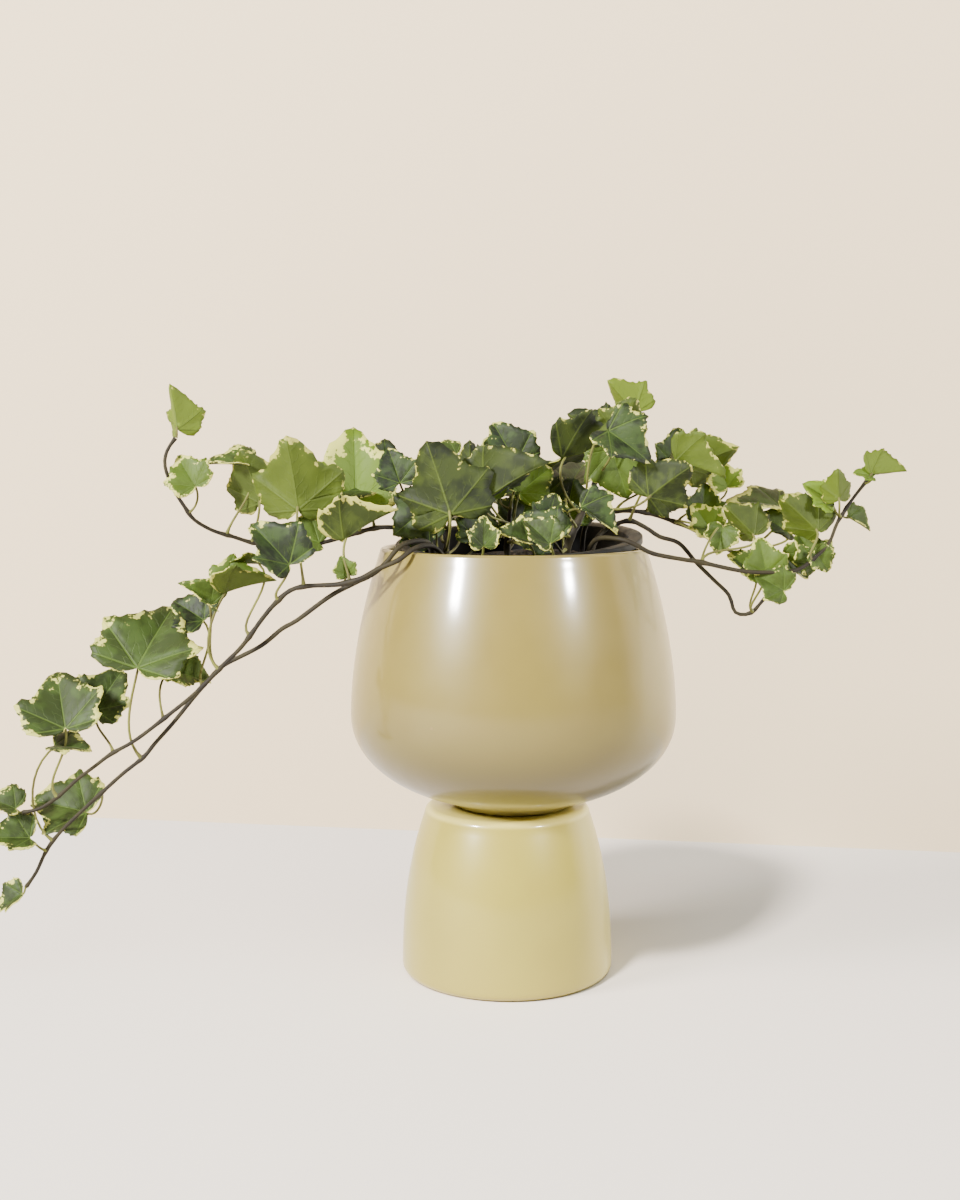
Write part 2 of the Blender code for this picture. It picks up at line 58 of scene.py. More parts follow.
# %% Camera
CAMERA_PLACE = (-0.0128, -0.6912, 0.2438)
LOOK_DOWN = 5.67  # degrees under the horizon
SENSOR_HEIGHT, LENS = 36, 44.83  # millimetres

bpy.ops.object.camera_add(location=CAMERA_PLACE, rotation=(math.radians(90 - LOOK_DOWN), 0, 0))
camera = bpy.context.object
camera.data.sensor_fit = "VERTICAL"
camera.data.sensor_height = SENSOR_HEIGHT
camera.data.lens = LENS
bpy.context.scene.camera = camera
print("camera:", camera.data.lens, "mm lens at", [round(x, 3) for x in camera.location])

# %% [markdown]
# ## Small tools for this lesson
#
# Every operator in Blender acts on the selection, so each new piece starts from an empty one. A colour
# is given as it looks on a screen, from 0 to 255, and is turned into the linear values of a shader.

# %% Selection and colour
def clear_selection():
    if bpy.context.mode != "OBJECT":
        bpy.ops.object.mode_set(mode="OBJECT")
    bpy.ops.object.select_all(action="DESELECT")


def select_only(obj):
    clear_selection()
    obj.select_set(True)
    bpy.context.view_layer.objects.active = obj


def tone(red, green, blue):
    """Screen colour to linear colour."""
    channels = [value / 255 for value in (red, green, blue)]
    return tuple(c / 12.92 if c <= 0.04045 else ((c + 0.055) / 1.055) ** 2.4 for c in channels) + (1,)


# %% [markdown]
# ## Wiring a material
#
# A material is a graph of small nodes. These helpers add one node, wire the things it reads, and hand
# back its output, so that a recipe reads from top to bottom like a glaze card.

# %% Node helpers
class Recipe:
    """A material and short ways to add nodes to it."""

    def __init__(self, name):
        self.material = bpy.data.materials.new(name)
        self.material.use_nodes = True
        self.tree = self.material.node_tree
        self.shader = self.tree.nodes["Principled BSDF"]

    def node(self, kind, **inputs):
        made = self.tree.nodes.new(kind)
        for name, value in inputs.items():
            self.feed(made.inputs[name.replace("_", " ")], value)
        return made

    def feed(self, socket, value):
        if isinstance(value, bpy.types.NodeSocket):
            self.tree.links.new(value, socket)
        else:
            socket.default_value = value

    def math(self, operation, a, b=0.0, c=0.0):
        made = self.tree.nodes.new("ShaderNodeMath")
        made.operation = operation
        for socket, value in zip(made.inputs, (a, b, c)):
            self.feed(socket, value)
        return made.outputs[0]

    def ramp(self, value, low, high, to_low=0.0, to_high=1.0):
        """Smoothly from to_low, where value is low, to to_high, where it is high."""
        made = self.node("ShaderNodeMapRange")
        made.interpolation_type = "SMOOTHSTEP"
        numbers = {"Value": value, "From Min": low, "From Max": high, "To Min": to_low, "To Max": to_high}
        for name, number in numbers.items():
            self.feed(made.inputs[name], number)
        return made.outputs["Result"]

    def mix(self, share, first, second):
        made = self.tree.nodes.new("ShaderNodeMix")
        made.data_type = "RGBA"
        for socket, value in ((made.inputs[0], share), (made.inputs[6], first), (made.inputs[7], second)):
            self.feed(socket, value)
        return made.outputs[2]

    def noise(self, where, scale, detail=2.0, roughness=0.5):
        made = self.node("ShaderNodeTexNoise", Vector=where, Scale=scale, Detail=detail, Roughness=roughness)
        return made.outputs["Fac"]

    def place(self):
        """Where a point is on the object, in metres."""
        return self.node("ShaderNodeTexCoord").outputs["Object"]

    def bump(self, height, distance, strength=1.0):
        made = self.node("ShaderNodeBump", Height=height, Distance=distance, Strength=strength)
        self.feed(self.shader.inputs["Normal"], made.outputs["Normal"])

    def set(self, **inputs):
        for name, value in inputs.items():
            self.feed(self.shader.inputs[name.replace("_", " ")], value)


# %% [markdown]
# ## The table and the wall
#
# A plain pale table top runs back to a plain warm wall. The wall is turned a few degrees, so the line
# where they meet is not quite level. Both get the faintest mottle, as painted board has.

# %% Table and wall
BOARD_SIZE, GRID = 6, 4
MOTTLE = 0.985  # how bright the darker patches are


def board(name, colour, roughness):
    recipe = Recipe(name)
    mottle = recipe.noise(recipe.place(), 6.0, 3.0)
    darker = tuple(c * MOTTLE for c in colour[:3]) + (1,)
    recipe.set(Base_Color=recipe.mix(mottle, darker, colour), Roughness=roughness)
    return recipe.material


clear_selection()
bpy.ops.mesh.primitive_grid_add(x_subdivisions=GRID, y_subdivisions=GRID, size=BOARD_SIZE, location=(0, 0, 0))
table = bpy.context.object
table.name = "table_top"
table.data.materials.append(board("table_paint", tone(241, 229, 216), 0.6))

WALL_MIDDLE = Vector((0, 0.247, 2.9))  # its foot is a little under the table top
WALL_TURN = math.radians(-9)
clear_selection()
bpy.ops.mesh.primitive_grid_add(
    x_subdivisions=GRID, y_subdivisions=GRID, size=BOARD_SIZE, location=WALL_MIDDLE,
    rotation=(math.radians(90), 0, WALL_TURN),
)
wall = bpy.context.object
wall.name = "wall"
wall.visible_diffuse = False  # its warm bounce would tint the shadows
wall.data.materials.append(board("wall_paint", tone(219, 199, 165), 0.8))
print("wall turned by", round(math.degrees(WALL_TURN), 1), "degrees")

# %% [markdown]
# ## The light
#
# A tall window stands in front and to the left, and a smaller one to the right: the glaze shows both.
# A broad glow from behind on the right warms its edge. These three light the planter and the plant, and
# leave the table and the wall alone.
#
# The table and the wall have three lights of their own: a room light and a wider one beside it, which
# only the planter blocks, so that they throw its soft shadow, and a large cool fill. A weak ceiling
# light and the pale room itself reach everything.

# %% Lights
BOWL_MIDDLE = Vector((0.003, 0, 0.15))
DAYLIGHT = (1, 0.98, 0.95)
ROOM_BRIGHTNESS = 0.15


def window(name, towards, distance, width, height, power, colour=(1, 1, 1)):
    """An area light at a distance from the bowl, turned to face it."""
    clear_selection()
    direction = Vector(towards).normalized()
    bpy.ops.object.light_add(type="AREA", location=BOWL_MIDDLE + direction * distance)
    lamp = bpy.context.object
    lamp.name = name
    lamp.rotation_euler = direction.to_track_quat("Z", "Y").to_euler()
    lamp.data.shape = "RECTANGLE"
    lamp.data.size, lamp.data.size_y = width, height
    lamp.data.energy = power
    lamp.data.color = colour
    return lamp


boards, not_boards = bpy.data.collections.new("boards"), bpy.data.collections.new("not_boards")
for board_object in (table, wall):
    boards.objects.link(board_object)
    not_boards.objects.link(board_object)
for entry in not_boards.collection_objects:
    entry.light_linking.link_state = "EXCLUDE"

window_left = window(
    "window_left", (-0.67, -0.61, 0.42), distance=1.5, width=0.16, height=0.21, power=98, colour=DAYLIGHT
)
window_right = window(
    "window_right", (0.65, -0.64, 0.44), distance=1.6, width=0.13, height=0.10, power=46, colour=DAYLIGHT
)
side_glow = window(
    "side_glow", (0.86, 0.50, 0.2), distance=1.2, width=0.6, height=1.2, power=34, colour=(1, 0.97, 0.88)
)
for lamp in (window_left, window_right, side_glow):
    lamp.light_linking.receiver_collection = not_boards
window("ceiling", (-0.25, -0.35, 1), distance=2.2, width=2.6, height=2.6, power=7)

planter = bpy.data.collections.new("planter")
room_light = window(
    "room_light", (-0.42, -0.66, 0.80), distance=4.0, width=0.5, height=0.5, power=410, colour=(1, 0.96, 0.93)
)
room_side = window(
    "room_side", (-0.85, -0.42, 0.50), distance=4.0, width=1.2, height=1.2, power=230, colour=(1, 0.965, 0.93)
)
room_fill = window(
    "room_fill", (0.2, -0.6, 0.8), distance=3.0, width=3.0, height=3.0, power=88, colour=(0.80, 0.95, 1.0)
)
for lamp in (room_light, room_side, room_fill):
    lamp.light_linking.receiver_collection = boards
for lamp in (room_light, room_side, side_glow):
    lamp.light_linking.blocker_collection = planter

world = bpy.data.worlds.new("room")
bpy.context.scene.world = world
world.use_nodes = True
world.node_tree.nodes["Background"].inputs["Color"].default_value = (*DAYLIGHT, 1)
world.node_tree.nodes["Background"].inputs["Strength"].default_value = ROOM_BRIGHTNESS

# %% [markdown]
# ## The glaze
#
# Both planter pieces wear the same family of sand-coloured gloss glaze. It breaks a little darker in
# slow clouds, carries a few tiny iron specks, and pools very slightly, so its shine is never quite
# even. The clouds are a noise, the specks are the hearts of a few chosen cells, and the pooling is a
# long shallow bump. Light and shade are painted into the colour as well: it is painted darker towards
# the bowl's foot, as painted shade, and lighter and yellower round the seat, as painted light in the
# crevice where the two pieces meet.

# %% Glaze
PEDESTAL_HEIGHT = 79 * MM
# The first colour is painted light for the crevice where the bowl sits on the pedestal; the second is the
# iron specks' own colour.
SEAT_PAINTED_LIGHT, IRON_COLOUR = tone(176, 164, 88), tone(120, 96, 62)


def glaze(name, colour, cloud_colour, speck_amount, low, high, painted_shade_colour, ring):
    """The painted shade colour rules up to the height low and is gone at high. The painted light round the
    seat reaches as far as ring.
    """
    recipe = Recipe(name)
    place = recipe.place()
    clouds = recipe.ramp(recipe.noise(place, 22.0, 3.0), 0.35, 0.7)
    height = recipe.node("ShaderNodeSeparateXYZ", Vector=place).outputs["Z"]
    body = recipe.mix(clouds, colour, cloud_colour)
    # painted shade: the colour is darkened from the height high down to low, towards the foot
    body = recipe.mix(recipe.ramp(height, low, high, 1.0, 0.0), body, painted_shade_colour)
    from_seat = recipe.math("ABSOLUTE", recipe.math("SUBTRACT", height, PEDESTAL_HEIGHT))
    # painted light: the colour is lightened towards the seat colour within ring of the height where the bowl
    # sits
    body = recipe.mix(recipe.ramp(from_seat, 1.0 * MM, ring, 1.0, 0.0), body, SEAT_PAINTED_LIGHT)
    grains = recipe.node("ShaderNodeTexVoronoi", Vector=place, Scale=150.0, Randomness=1.0)
    lot = recipe.node("ShaderNodeSeparateColor", Color=grains.outputs["Color"]).outputs["Red"]
    chosen = recipe.math("GREATER_THAN", lot, 1 - speck_amount)
    near = recipe.ramp(grains.outputs["Distance"], 0.05, 0.13, 1.0, 0.0)
    specks = recipe.math("MULTIPLY", chosen, near)
    recipe.set(
        Base_Color=recipe.mix(recipe.math("MULTIPLY", specks, 0.6), body, IRON_COLOUR),
        Roughness=recipe.ramp(recipe.noise(place, 60.0, 2.0), 0.3, 0.7, 0.34, 0.40),
        IOR=1.5,
        Specular_IOR_Level=0.25,
        Coat_Weight=0.6,
        Coat_Roughness=0.13,
    )
    recipe.bump(recipe.noise(place, 35.0, 2.0), 0.0004, 0.2)
    return recipe.material


# The bowl is painted darker low on its belly, as painted shade, and lighter round its foot, as painted light.
bowl_glaze = glaze(
    "bowl_glaze", tone(110, 98, 46), tone(105, 93, 43), speck_amount=0.012,
    low=86 * MM, high=150 * MM, painted_shade_colour=tone(70, 62, 27), ring=14 * MM,
)
# The pedestal's painted shade is all but its own colour, and its painted light round the seat is narrow.
pedestal_glaze = glaze(
    "pedestal_glaze", tone(144, 133, 54), tone(139, 128, 51), speck_amount=0.008,
    low=0.0, high=30 * MM, painted_shade_colour=tone(144, 132, 54), ring=3.5 * MM,
)
print("glazes:", bowl_glaze.name, pedestal_glaze.name)

# %% [markdown]
# ## Throwing a round piece
#
# A potter raises a wall by pulling up ring after ring of clay. The same works in edit mode: start from
# a circle, extrude its edge, and scale each new ring to the radius of the pot at that height.

# %% The potter's ring
SIDES = 96


def throw(name, rings, centre=(0.0, 0.0)):
    """Raises a closed round piece through rings of (radius, height), from its underside to its inside."""
    x, y = centre
    clear_selection()
    radius, height = rings[0]
    bpy.ops.mesh.primitive_circle_add(
        vertices=SIDES, radius=radius, fill_type="NGON", location=(x, y, height)
    )
    piece = bpy.context.object
    piece.name = name
    bpy.ops.object.mode_set(mode="EDIT")
    for next_radius, next_height in rings[1:]:
        bpy.ops.mesh.extrude_region_move(TRANSFORM_OT_translate={"value": (0, 0, next_height - height)})
        grow = next_radius / radius
        bpy.ops.transform.resize(value=(grow, grow, 1), center_override=(x, y, next_height))
        radius, height = next_radius, next_height
    bpy.ops.mesh.select_all(action="SELECT")
    bpy.ops.mesh.normals_make_consistent(inside=False)
    bpy.ops.object.mode_set(mode="OBJECT")
    bpy.ops.object.transform_apply(location=True, rotation=True, scale=True)
    bpy.ops.object.shade_smooth_by_angle(angle=math.radians(40))
    return piece


def bend(centre, radius, start, end, steps):
    """Rings of a rounded edge, with its angles in degrees from outwards."""
    angles = [math.radians(start + (end - start) * i / steps) for i in range(steps + 1)]
    return [(centre[0] + radius * math.cos(a), centre[1] + radius * math.sin(a)) for a in angles]


# %% [markdown]
# ## The pedestal
#
# The drum leans in faster and faster towards its top, and ends in a soft shoulder. Its foot is
# rounded, and the underside is flat. It is hollow in clay; only its outer skin is seen.

# %% Pedestal
BASE_RADIUS, TOP_RADIUS, BULGE = 49.5 * MM, 37.5 * MM, 2.44
FOOT_ROUND, SHOULDER_ROUND = 4 * MM, 3.5 * MM


def pedestal_radius(z):
    return BASE_RADIUS - (BASE_RADIUS - TOP_RADIUS) * (z / PEDESTAL_HEIGHT) ** BULGE


def pedestal_rings():
    foot = bend((pedestal_radius(FOOT_ROUND) - FOOT_ROUND, FOOT_ROUND), FOOT_ROUND, -90, 0, 6)
    top = PEDESTAL_HEIGHT - SHOULDER_ROUND
    side = [(pedestal_radius(z), z) for z in (FOOT_ROUND + (top - FOOT_ROUND) * i / 24 for i in range(25))]
    shoulder = bend((side[-1][0] - SHOULDER_ROUND, top), SHOULDER_ROUND, 0, 90, 6)
    return [(20 * MM, 0), *foot, *side[1:], *shoulder[1:], (15 * MM, PEDESTAL_HEIGHT)]


pedestal = throw("pedestal_glazed", pedestal_rings())
pedestal.data.materials.append(pedestal_glaze)
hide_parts("pedestal")
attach(pedestal, "root")
planter.objects.link(pedestal)
print("pedestal:", len(pedestal.data.polygons), "faces")

# %% [markdown]
# ## The bowl
#
# Under the belly the wall is a superellipse, which is a little squarer than an ellipse. Over it the
# wall leans in on a power curve up to a rounded lip, turns, and comes down inside at an even
# thickness. The bowl sits a hair off the pedestal's middle, as hand-stacked pieces do.

# %% Bowl
POT_HEIGHT, RIM_RADIUS, BELLY_RADIUS, BELLY_HEIGHT = 200 * MM, 61.2 * MM, 75.7 * MM, 122.8 * MM
SHOULDER_CURVE, SQUARENESS = 1.78, 2.11
BOWL_WALL, BOWL_FLOOR, BOWL_SHIFT = 3.5 * MM, 5 * MM, 2.7 * MM
FOOT_RADIUS, FOOT_WIDTH = 27 * MM, 5 * MM
FOOT_HOLLOW = 1.1 * MM
SEAT_GAP = 0.3 * MM
SEAT = PEDESTAL_HEIGHT + SEAT_GAP


def under_belly(inset, bottom, steps):
    reach, depth, power = BELLY_RADIUS - inset, BELLY_HEIGHT - bottom, 2 / SQUARENESS
    start = math.acos((FOOT_RADIUS / reach) ** (1 / power))
    angles = [start * (1 - i / steps) for i in range(steps + 1)]
    return [(reach * math.cos(a) ** power, BELLY_HEIGHT - depth * math.sin(a) ** power) for a in angles]


def over_belly(inset, top, steps):
    rise = POT_HEIGHT - BELLY_HEIGHT
    rings = []
    for i in range(1, steps + 1):
        z = BELLY_HEIGHT + (top - BELLY_HEIGHT) * i / steps
        lean = (BELLY_RADIUS - RIM_RADIUS) * ((z - BELLY_HEIGHT) / rise) ** SHOULDER_CURVE
        rings.append((BELLY_RADIUS - lean - inset, z))
    return rings


def bowl_rings():
    lip = BOWL_WALL / 2
    outside = under_belly(0, SEAT, 22) + over_belly(0, POT_HEIGHT - lip, 20)
    inside = under_belly(BOWL_WALL, SEAT + BOWL_FLOOR, 12) + over_belly(BOWL_WALL, POT_HEIGHT - lip, 12)
    lip_rings = bend((outside[-1][0] - lip, POT_HEIGHT - lip), lip, 0, 180, 10)
    foot_inside = FOOT_RADIUS - FOOT_WIDTH
    hollow = SEAT + FOOT_HOLLOW
    foot = [(5 * MM, hollow), (foot_inside, hollow), (foot_inside, SEAT), (FOOT_RADIUS, SEAT)]
    return [*foot, *outside[1:], *lip_rings[1:-1], *inside[::-1], (10 * MM, SEAT + BOWL_FLOOR)]


bowl = throw("bowl_glazed", bowl_rings(), (BOWL_SHIFT, 0))
bowl.data.materials.append(bowl_glaze)
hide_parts("bowl")
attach(bowl, "root")
planter.objects.link(bowl)
print("bowl:", len(bowl.data.polygons), "faces")

# %% [markdown]
# ## The nursery pot
#
# Growers' pots are thin moulded plastic with an out-turned lip. It leans in the bowl, so its lip
# shows as a dark arc at the back right. It is thrown upright about its own lip, then tipped.

# %% Nursery pot
LIP_RADIUS, POT_RADIUS, POT_BASE, POT_DEPTH, POT_WALL = 57.5 * MM, 52.3 * MM, 38 * MM, 108 * MM, 1.2 * MM
LIP_DEPTH, LIP_ROUND = 3.5 * MM, 0.6 * MM
TILT, RAISED_TOWARDS = math.radians(6), math.radians(68)
POT_PLACE = Vector((BOWL_SHIFT + 2.5 * MM, 4.3 * MM, POT_HEIGHT + 3.7 * MM))
tilt_axis = Vector((-math.sin(RAISED_TOWARDS), math.cos(RAISED_TOWARDS), 0))
pot_frame = Matrix.Translation(POT_PLACE) @ Matrix.Rotation(-TILT, 4, tilt_axis)


def pot_radius(depth):
    return POT_RADIUS - (POT_RADIUS - POT_BASE) / POT_DEPTH * depth


def pot_rings():
    edge = bend((LIP_RADIUS - LIP_ROUND, -LIP_ROUND), LIP_ROUND, 0, 90, 3)
    inside = [(pot_radius(d) - POT_WALL, -d) for d in (1 * MM, 14 * MM, 60 * MM, POT_DEPTH - POT_WALL)]
    return [
        (20 * MM, -POT_DEPTH), (POT_BASE, -POT_DEPTH), (pot_radius(50 * MM), -50 * MM),
        (pot_radius(LIP_DEPTH), -LIP_DEPTH), (LIP_RADIUS - POT_WALL, -LIP_DEPTH),
        (LIP_RADIUS, -LIP_DEPTH + 0.5 * MM), *edge, (POT_RADIUS, 0), *inside,
        (15 * MM, POT_WALL - POT_DEPTH),
    ]


plastic = Recipe("nursery_plastic")
rubbed = plastic.ramp(plastic.noise(plastic.place(), 130.0, 5.0, 0.7), 0.45, 0.75)
plastic.set(
    Base_Color=plastic.mix(rubbed, tone(9, 10, 11), tone(20, 23, 24)),
    Roughness=plastic.ramp(rubbed, 0, 1, 0.6, 0.8),
    Specular_IOR_Level=0.2,
)
plastic.bump(plastic.noise(plastic.place(), 900.0, 2.0), 0.0001, 0.4)

nursery = throw("nursery_pot_moulded", pot_rings())
nursery.data.transform(pot_frame)
nursery.data.materials.append(plastic.material)
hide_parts("nursery_pot")
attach(nursery, "root")
print("nursery pot:", len(nursery.data.polygons), "faces")

# %% [markdown]
# ## The potting mix
#
# Potting mix is crumbs of peat and bark. The root ball is thrown like a pot, with many close rings over
# its domed top. Each point of the top is then nudged up or down at random, and a bump of small cells
# makes the crumbs.

# %% Potting mix
SOIL_DROP, SOIL_CROWN, SOIL_GAP = 14 * MM, 3 * MM, 0.3 * MM
CRUMB = 0.9  # how far a crumb stands up or lies down, in millimetres


def soil_top(radius):
    return SOIL_CROWN * (1 - (radius / pot_radius(SOIL_DROP)) ** 2) - SOIL_DROP


def soil_rings():
    edge = pot_radius(SOIL_DROP) - POT_WALL - SOIL_GAP
    low = pot_radius(POT_DEPTH - 2 * MM) - POT_WALL - SOIL_GAP
    top = [(edge * i / 26, soil_top(edge * i / 26)) for i in range(26, 1, -1)]
    return [(20 * MM, 1.5 * MM - POT_DEPTH), (low, 1.5 * MM - POT_DEPTH), *top]


soil_mix = Recipe("potting_soil")
crumbs = soil_mix.node("ShaderNodeTexVoronoi", Vector=soil_mix.place(), Scale=420.0, Randomness=1.0)
shade = soil_mix.node("ShaderNodeSeparateColor", Color=crumbs.outputs["Color"]).outputs["Red"]
peat = soil_mix.mix(soil_mix.ramp(shade, 0.3, 1.0), tone(18, 14, 10), tone(58, 45, 32))
soil_mix.set(Base_Color=peat, Roughness=0.95)
soil_mix.bump(crumbs.outputs["Distance"], 0.0012, 0.8)

soil = throw("potting_mix", soil_rings())
rng = random.Random(3)
for vertex in soil.data.vertices:
    radius = math.hypot(vertex.co.x, vertex.co.y)
    if vertex.co.z > -SOIL_DROP - MM and radius < pot_radius(SOIL_DROP) - 3 * MM:
        vertex.co.z += rng.uniform(-CRUMB, CRUMB) * MM
soil.data.transform(pot_frame)
soil.data.materials.append(soil_mix.material)
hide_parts("soil")
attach(soil, "root")
print("potting mix:", len(soil.data.polygons), "faces")

# %% [markdown]
# ## The ivy's skin
#
# Variegated ivy has three looks in one leaf. The face is dark green, broken by greyer sectors, with a
# ragged cream margin and pale veins that fan out from the stalk. The back is a smoother olive. Where
# light falls through the blade it glows yellow-green, so some translucent shader is mixed in.
#
# The pattern has to follow the blade, so it is drawn in the blade's own map: the stalk joins at
# (0, 0) and the tip is at (0, 1). Two attributes say the rest: `edge` runs from 0 at the hub to 1 at
# the margin, and `traits` holds how creamy and how young the leaf is, and a number to vary its noise.

# %% Blade coordinates and veins
MAP_SIZE, MAP_LEFT, MAP_LOW = 1.7, -0.85, -0.35
VEINS = (0.0, math.radians(57), math.radians(95))
LAYERS = 40  # how far apart two leaves can lie in the noise
SIDE_VEINS = 6.5  # side veins per blade length


def blade_frame(recipe):
    """The blade's x and y, and the leaf's own noise space."""
    flat = recipe.node("ShaderNodeUVMap")
    flat.uv_map = "blade"
    parts = recipe.node("ShaderNodeSeparateXYZ", Vector=flat.outputs["UV"])
    x = recipe.math("MULTIPLY_ADD", parts.outputs["X"], MAP_SIZE, MAP_LEFT)
    y = recipe.math("MULTIPLY_ADD", parts.outputs["Y"], MAP_SIZE, MAP_LOW)
    traits = recipe.tree.nodes.new("ShaderNodeAttribute")
    traits.attribute_name = "traits"
    split = recipe.node("ShaderNodeSeparateColor", Color=traits.outputs["Color"])
    edge = recipe.tree.nodes.new("ShaderNodeAttribute")
    edge.attribute_name = "edge"
    layer = recipe.math("MULTIPLY", split.outputs["Blue"], LAYERS)
    own = recipe.node("ShaderNodeCombineXYZ", X=x, Y=y, Z=layer)
    return x, y, own.outputs["Vector"], edge.outputs["Fac"], split.outputs["Red"], split.outputs["Green"]


def vein_lines(recipe, x, y, wobble):
    """1 on a main vein, fading to 0, and the same for the side veins that branch from it."""
    side = recipe.math("ABSOLUTE", x)
    squares = recipe.math("ADD", recipe.math("MULTIPLY", x, x), recipe.math("MULTIPLY", y, y))
    reach = recipe.math("SQRT", squares)
    angle = recipe.math("ARCTAN2", side, y)
    off, branch = None, None
    for vein in VEINS:
        turn = recipe.math("SUBTRACT", angle, vein)
        across = recipe.math("ABSOLUTE", recipe.math("MULTIPLY", reach, recipe.math("SINE", turn)))
        along = recipe.math("MULTIPLY", reach, recipe.math("COSINE", turn))
        step = recipe.math("MULTIPLY_ADD", recipe.math("SUBTRACT", along, across), SIDE_VEINS, wobble)
        line = recipe.math("ABSOLUTE", recipe.math("SUBTRACT", recipe.math("FRACT", step), 0.5))
        if off is None:
            off, branch = across, line
        else:
            nearer = recipe.math("LESS_THAN", across, off)
            branch = recipe.node("ShaderNodeMix", Factor=nearer, A=branch, B=line).outputs["Result"]
            off = recipe.math("MINIMUM", off, across)
    width = recipe.math("MULTIPLY_ADD", reach, -0.012, 0.022)
    main = recipe.ramp(recipe.math("DIVIDE", off, width), 0.35, 1.0, 1.0, 0.0)
    fine = recipe.ramp(branch, 0.02, 0.09, 1.0, 0.0)
    return main, recipe.math("MULTIPLY", fine, recipe.ramp(off, 0.25, 0.05, 0.0, 1.0))


# %% [markdown]
# ## Face and back of a blade
#
# Both sides share one recipe with different colours. The cream margin starts where `edge`, shaken by
# noise, passes a mark that moves inwards on a creamier leaf. Veins are sunk a little into the face
# and stand a little proud of the back.

# %% Leaf finishes
FINE_SHARE = 0.35  # how strongly a side vein shows against a main one


def leaf_skin(name, deep, grey, fresh_colour, vein_colour, cream, rag, relief, glow, roughness):
    recipe = Recipe(name)
    x, y, own, edge, creamy, young = blade_frame(recipe)
    sectors = recipe.noise(own, 3.2, 2.0, 0.55)
    ragged = recipe.noise(own, 9.0, 3.0, 0.6)
    main, fine = vein_lines(recipe, x, y, recipe.math("MULTIPLY", ragged, 1.2))
    green = recipe.mix(recipe.ramp(sectors, 0.42, 0.60), deep, grey)
    green = recipe.mix(young, green, fresh_colour)
    veins = recipe.math("MAXIMUM", main, recipe.math("MULTIPLY", fine, FINE_SHARE))
    green = recipe.mix(recipe.math("MULTIPLY", veins, 0.6), green, vein_colour)
    shaken = recipe.math("MULTIPLY_ADD", sectors, 0.5, recipe.math("MULTIPLY", ragged, 0.5))
    shaken = recipe.math("MULTIPLY", recipe.math("SUBTRACT", shaken, 0.5), rag)
    mark = recipe.math("ADD", edge, shaken)
    start = recipe.math("MULTIPLY_ADD", creamy, -0.5, 1.14)
    margin = recipe.ramp(recipe.math("SUBTRACT", mark, start), -0.03, 0.03)
    colour = recipe.mix(recipe.math("MULTIPLY", margin, 0.85), green, cream)
    recipe.set(Base_Color=colour, Roughness=roughness, Specular_IOR_Level=0.25)
    main_height = recipe.math("MULTIPLY", main, relief)
    height = recipe.math("ADD", main_height, recipe.math("MULTIPLY", fine, relief * FINE_SHARE))
    recipe.bump(recipe.math("ADD", height, recipe.math("MULTIPLY", ragged, 0.3)), 0.0006, 0.6)
    through = recipe.node("ShaderNodeBsdfTranslucent", Color=recipe.mix(0.35, colour, tone(150, 176, 44)))
    both = recipe.node("ShaderNodeMixShader", Fac=glow)
    recipe.tree.links.new(recipe.shader.outputs[0], both.inputs[1])
    recipe.tree.links.new(through.outputs[0], both.inputs[2])
    recipe.tree.links.new(both.outputs[0], recipe.tree.nodes["Material Output"].inputs["Surface"])
    return recipe.material


leaf_face = leaf_skin(
    "ivy_leaf_face", deep=tone(10, 20, 3), grey=tone(34, 50, 16), fresh_colour=tone(80, 102, 14),
    vein_colour=tone(70, 90, 30), cream=tone(184, 182, 92), rag=1.7, relief=-1.0, glow=0.14, roughness=0.6,
)
leaf_back = leaf_skin(
    "ivy_leaf_back", deep=tone(15, 23, 2), grey=tone(38, 48, 9), fresh_colour=tone(78, 94, 12),
    vein_colour=tone(66, 79, 22), cream=tone(164, 160, 76), rag=1.6, relief=1.0, glow=0.18, roughness=0.65,
)


def stem_skin(name, bark, green, amount):
    recipe = Recipe(name)
    place = recipe.place()
    patches = recipe.ramp(recipe.noise(place, 90.0, 3.0), 0.35, 0.65, 0.0, amount)
    recipe.set(Base_Color=recipe.mix(patches, bark, green), Roughness=0.7, Specular_IOR_Level=0.25)
    recipe.bump(recipe.noise(place, 900.0, 3.0), 0.0003, 0.5)
    return recipe.material


bark = stem_skin("ivy_bark", tone(20, 15, 6), tone(40, 35, 12), 0.7)
stalk_skin = stem_skin("ivy_stalk", tone(66, 64, 26), tone(92, 94, 40), 1.0)
print("plant finishes:", leaf_face.name, leaf_back.name, bark.name, stalk_skin.name)
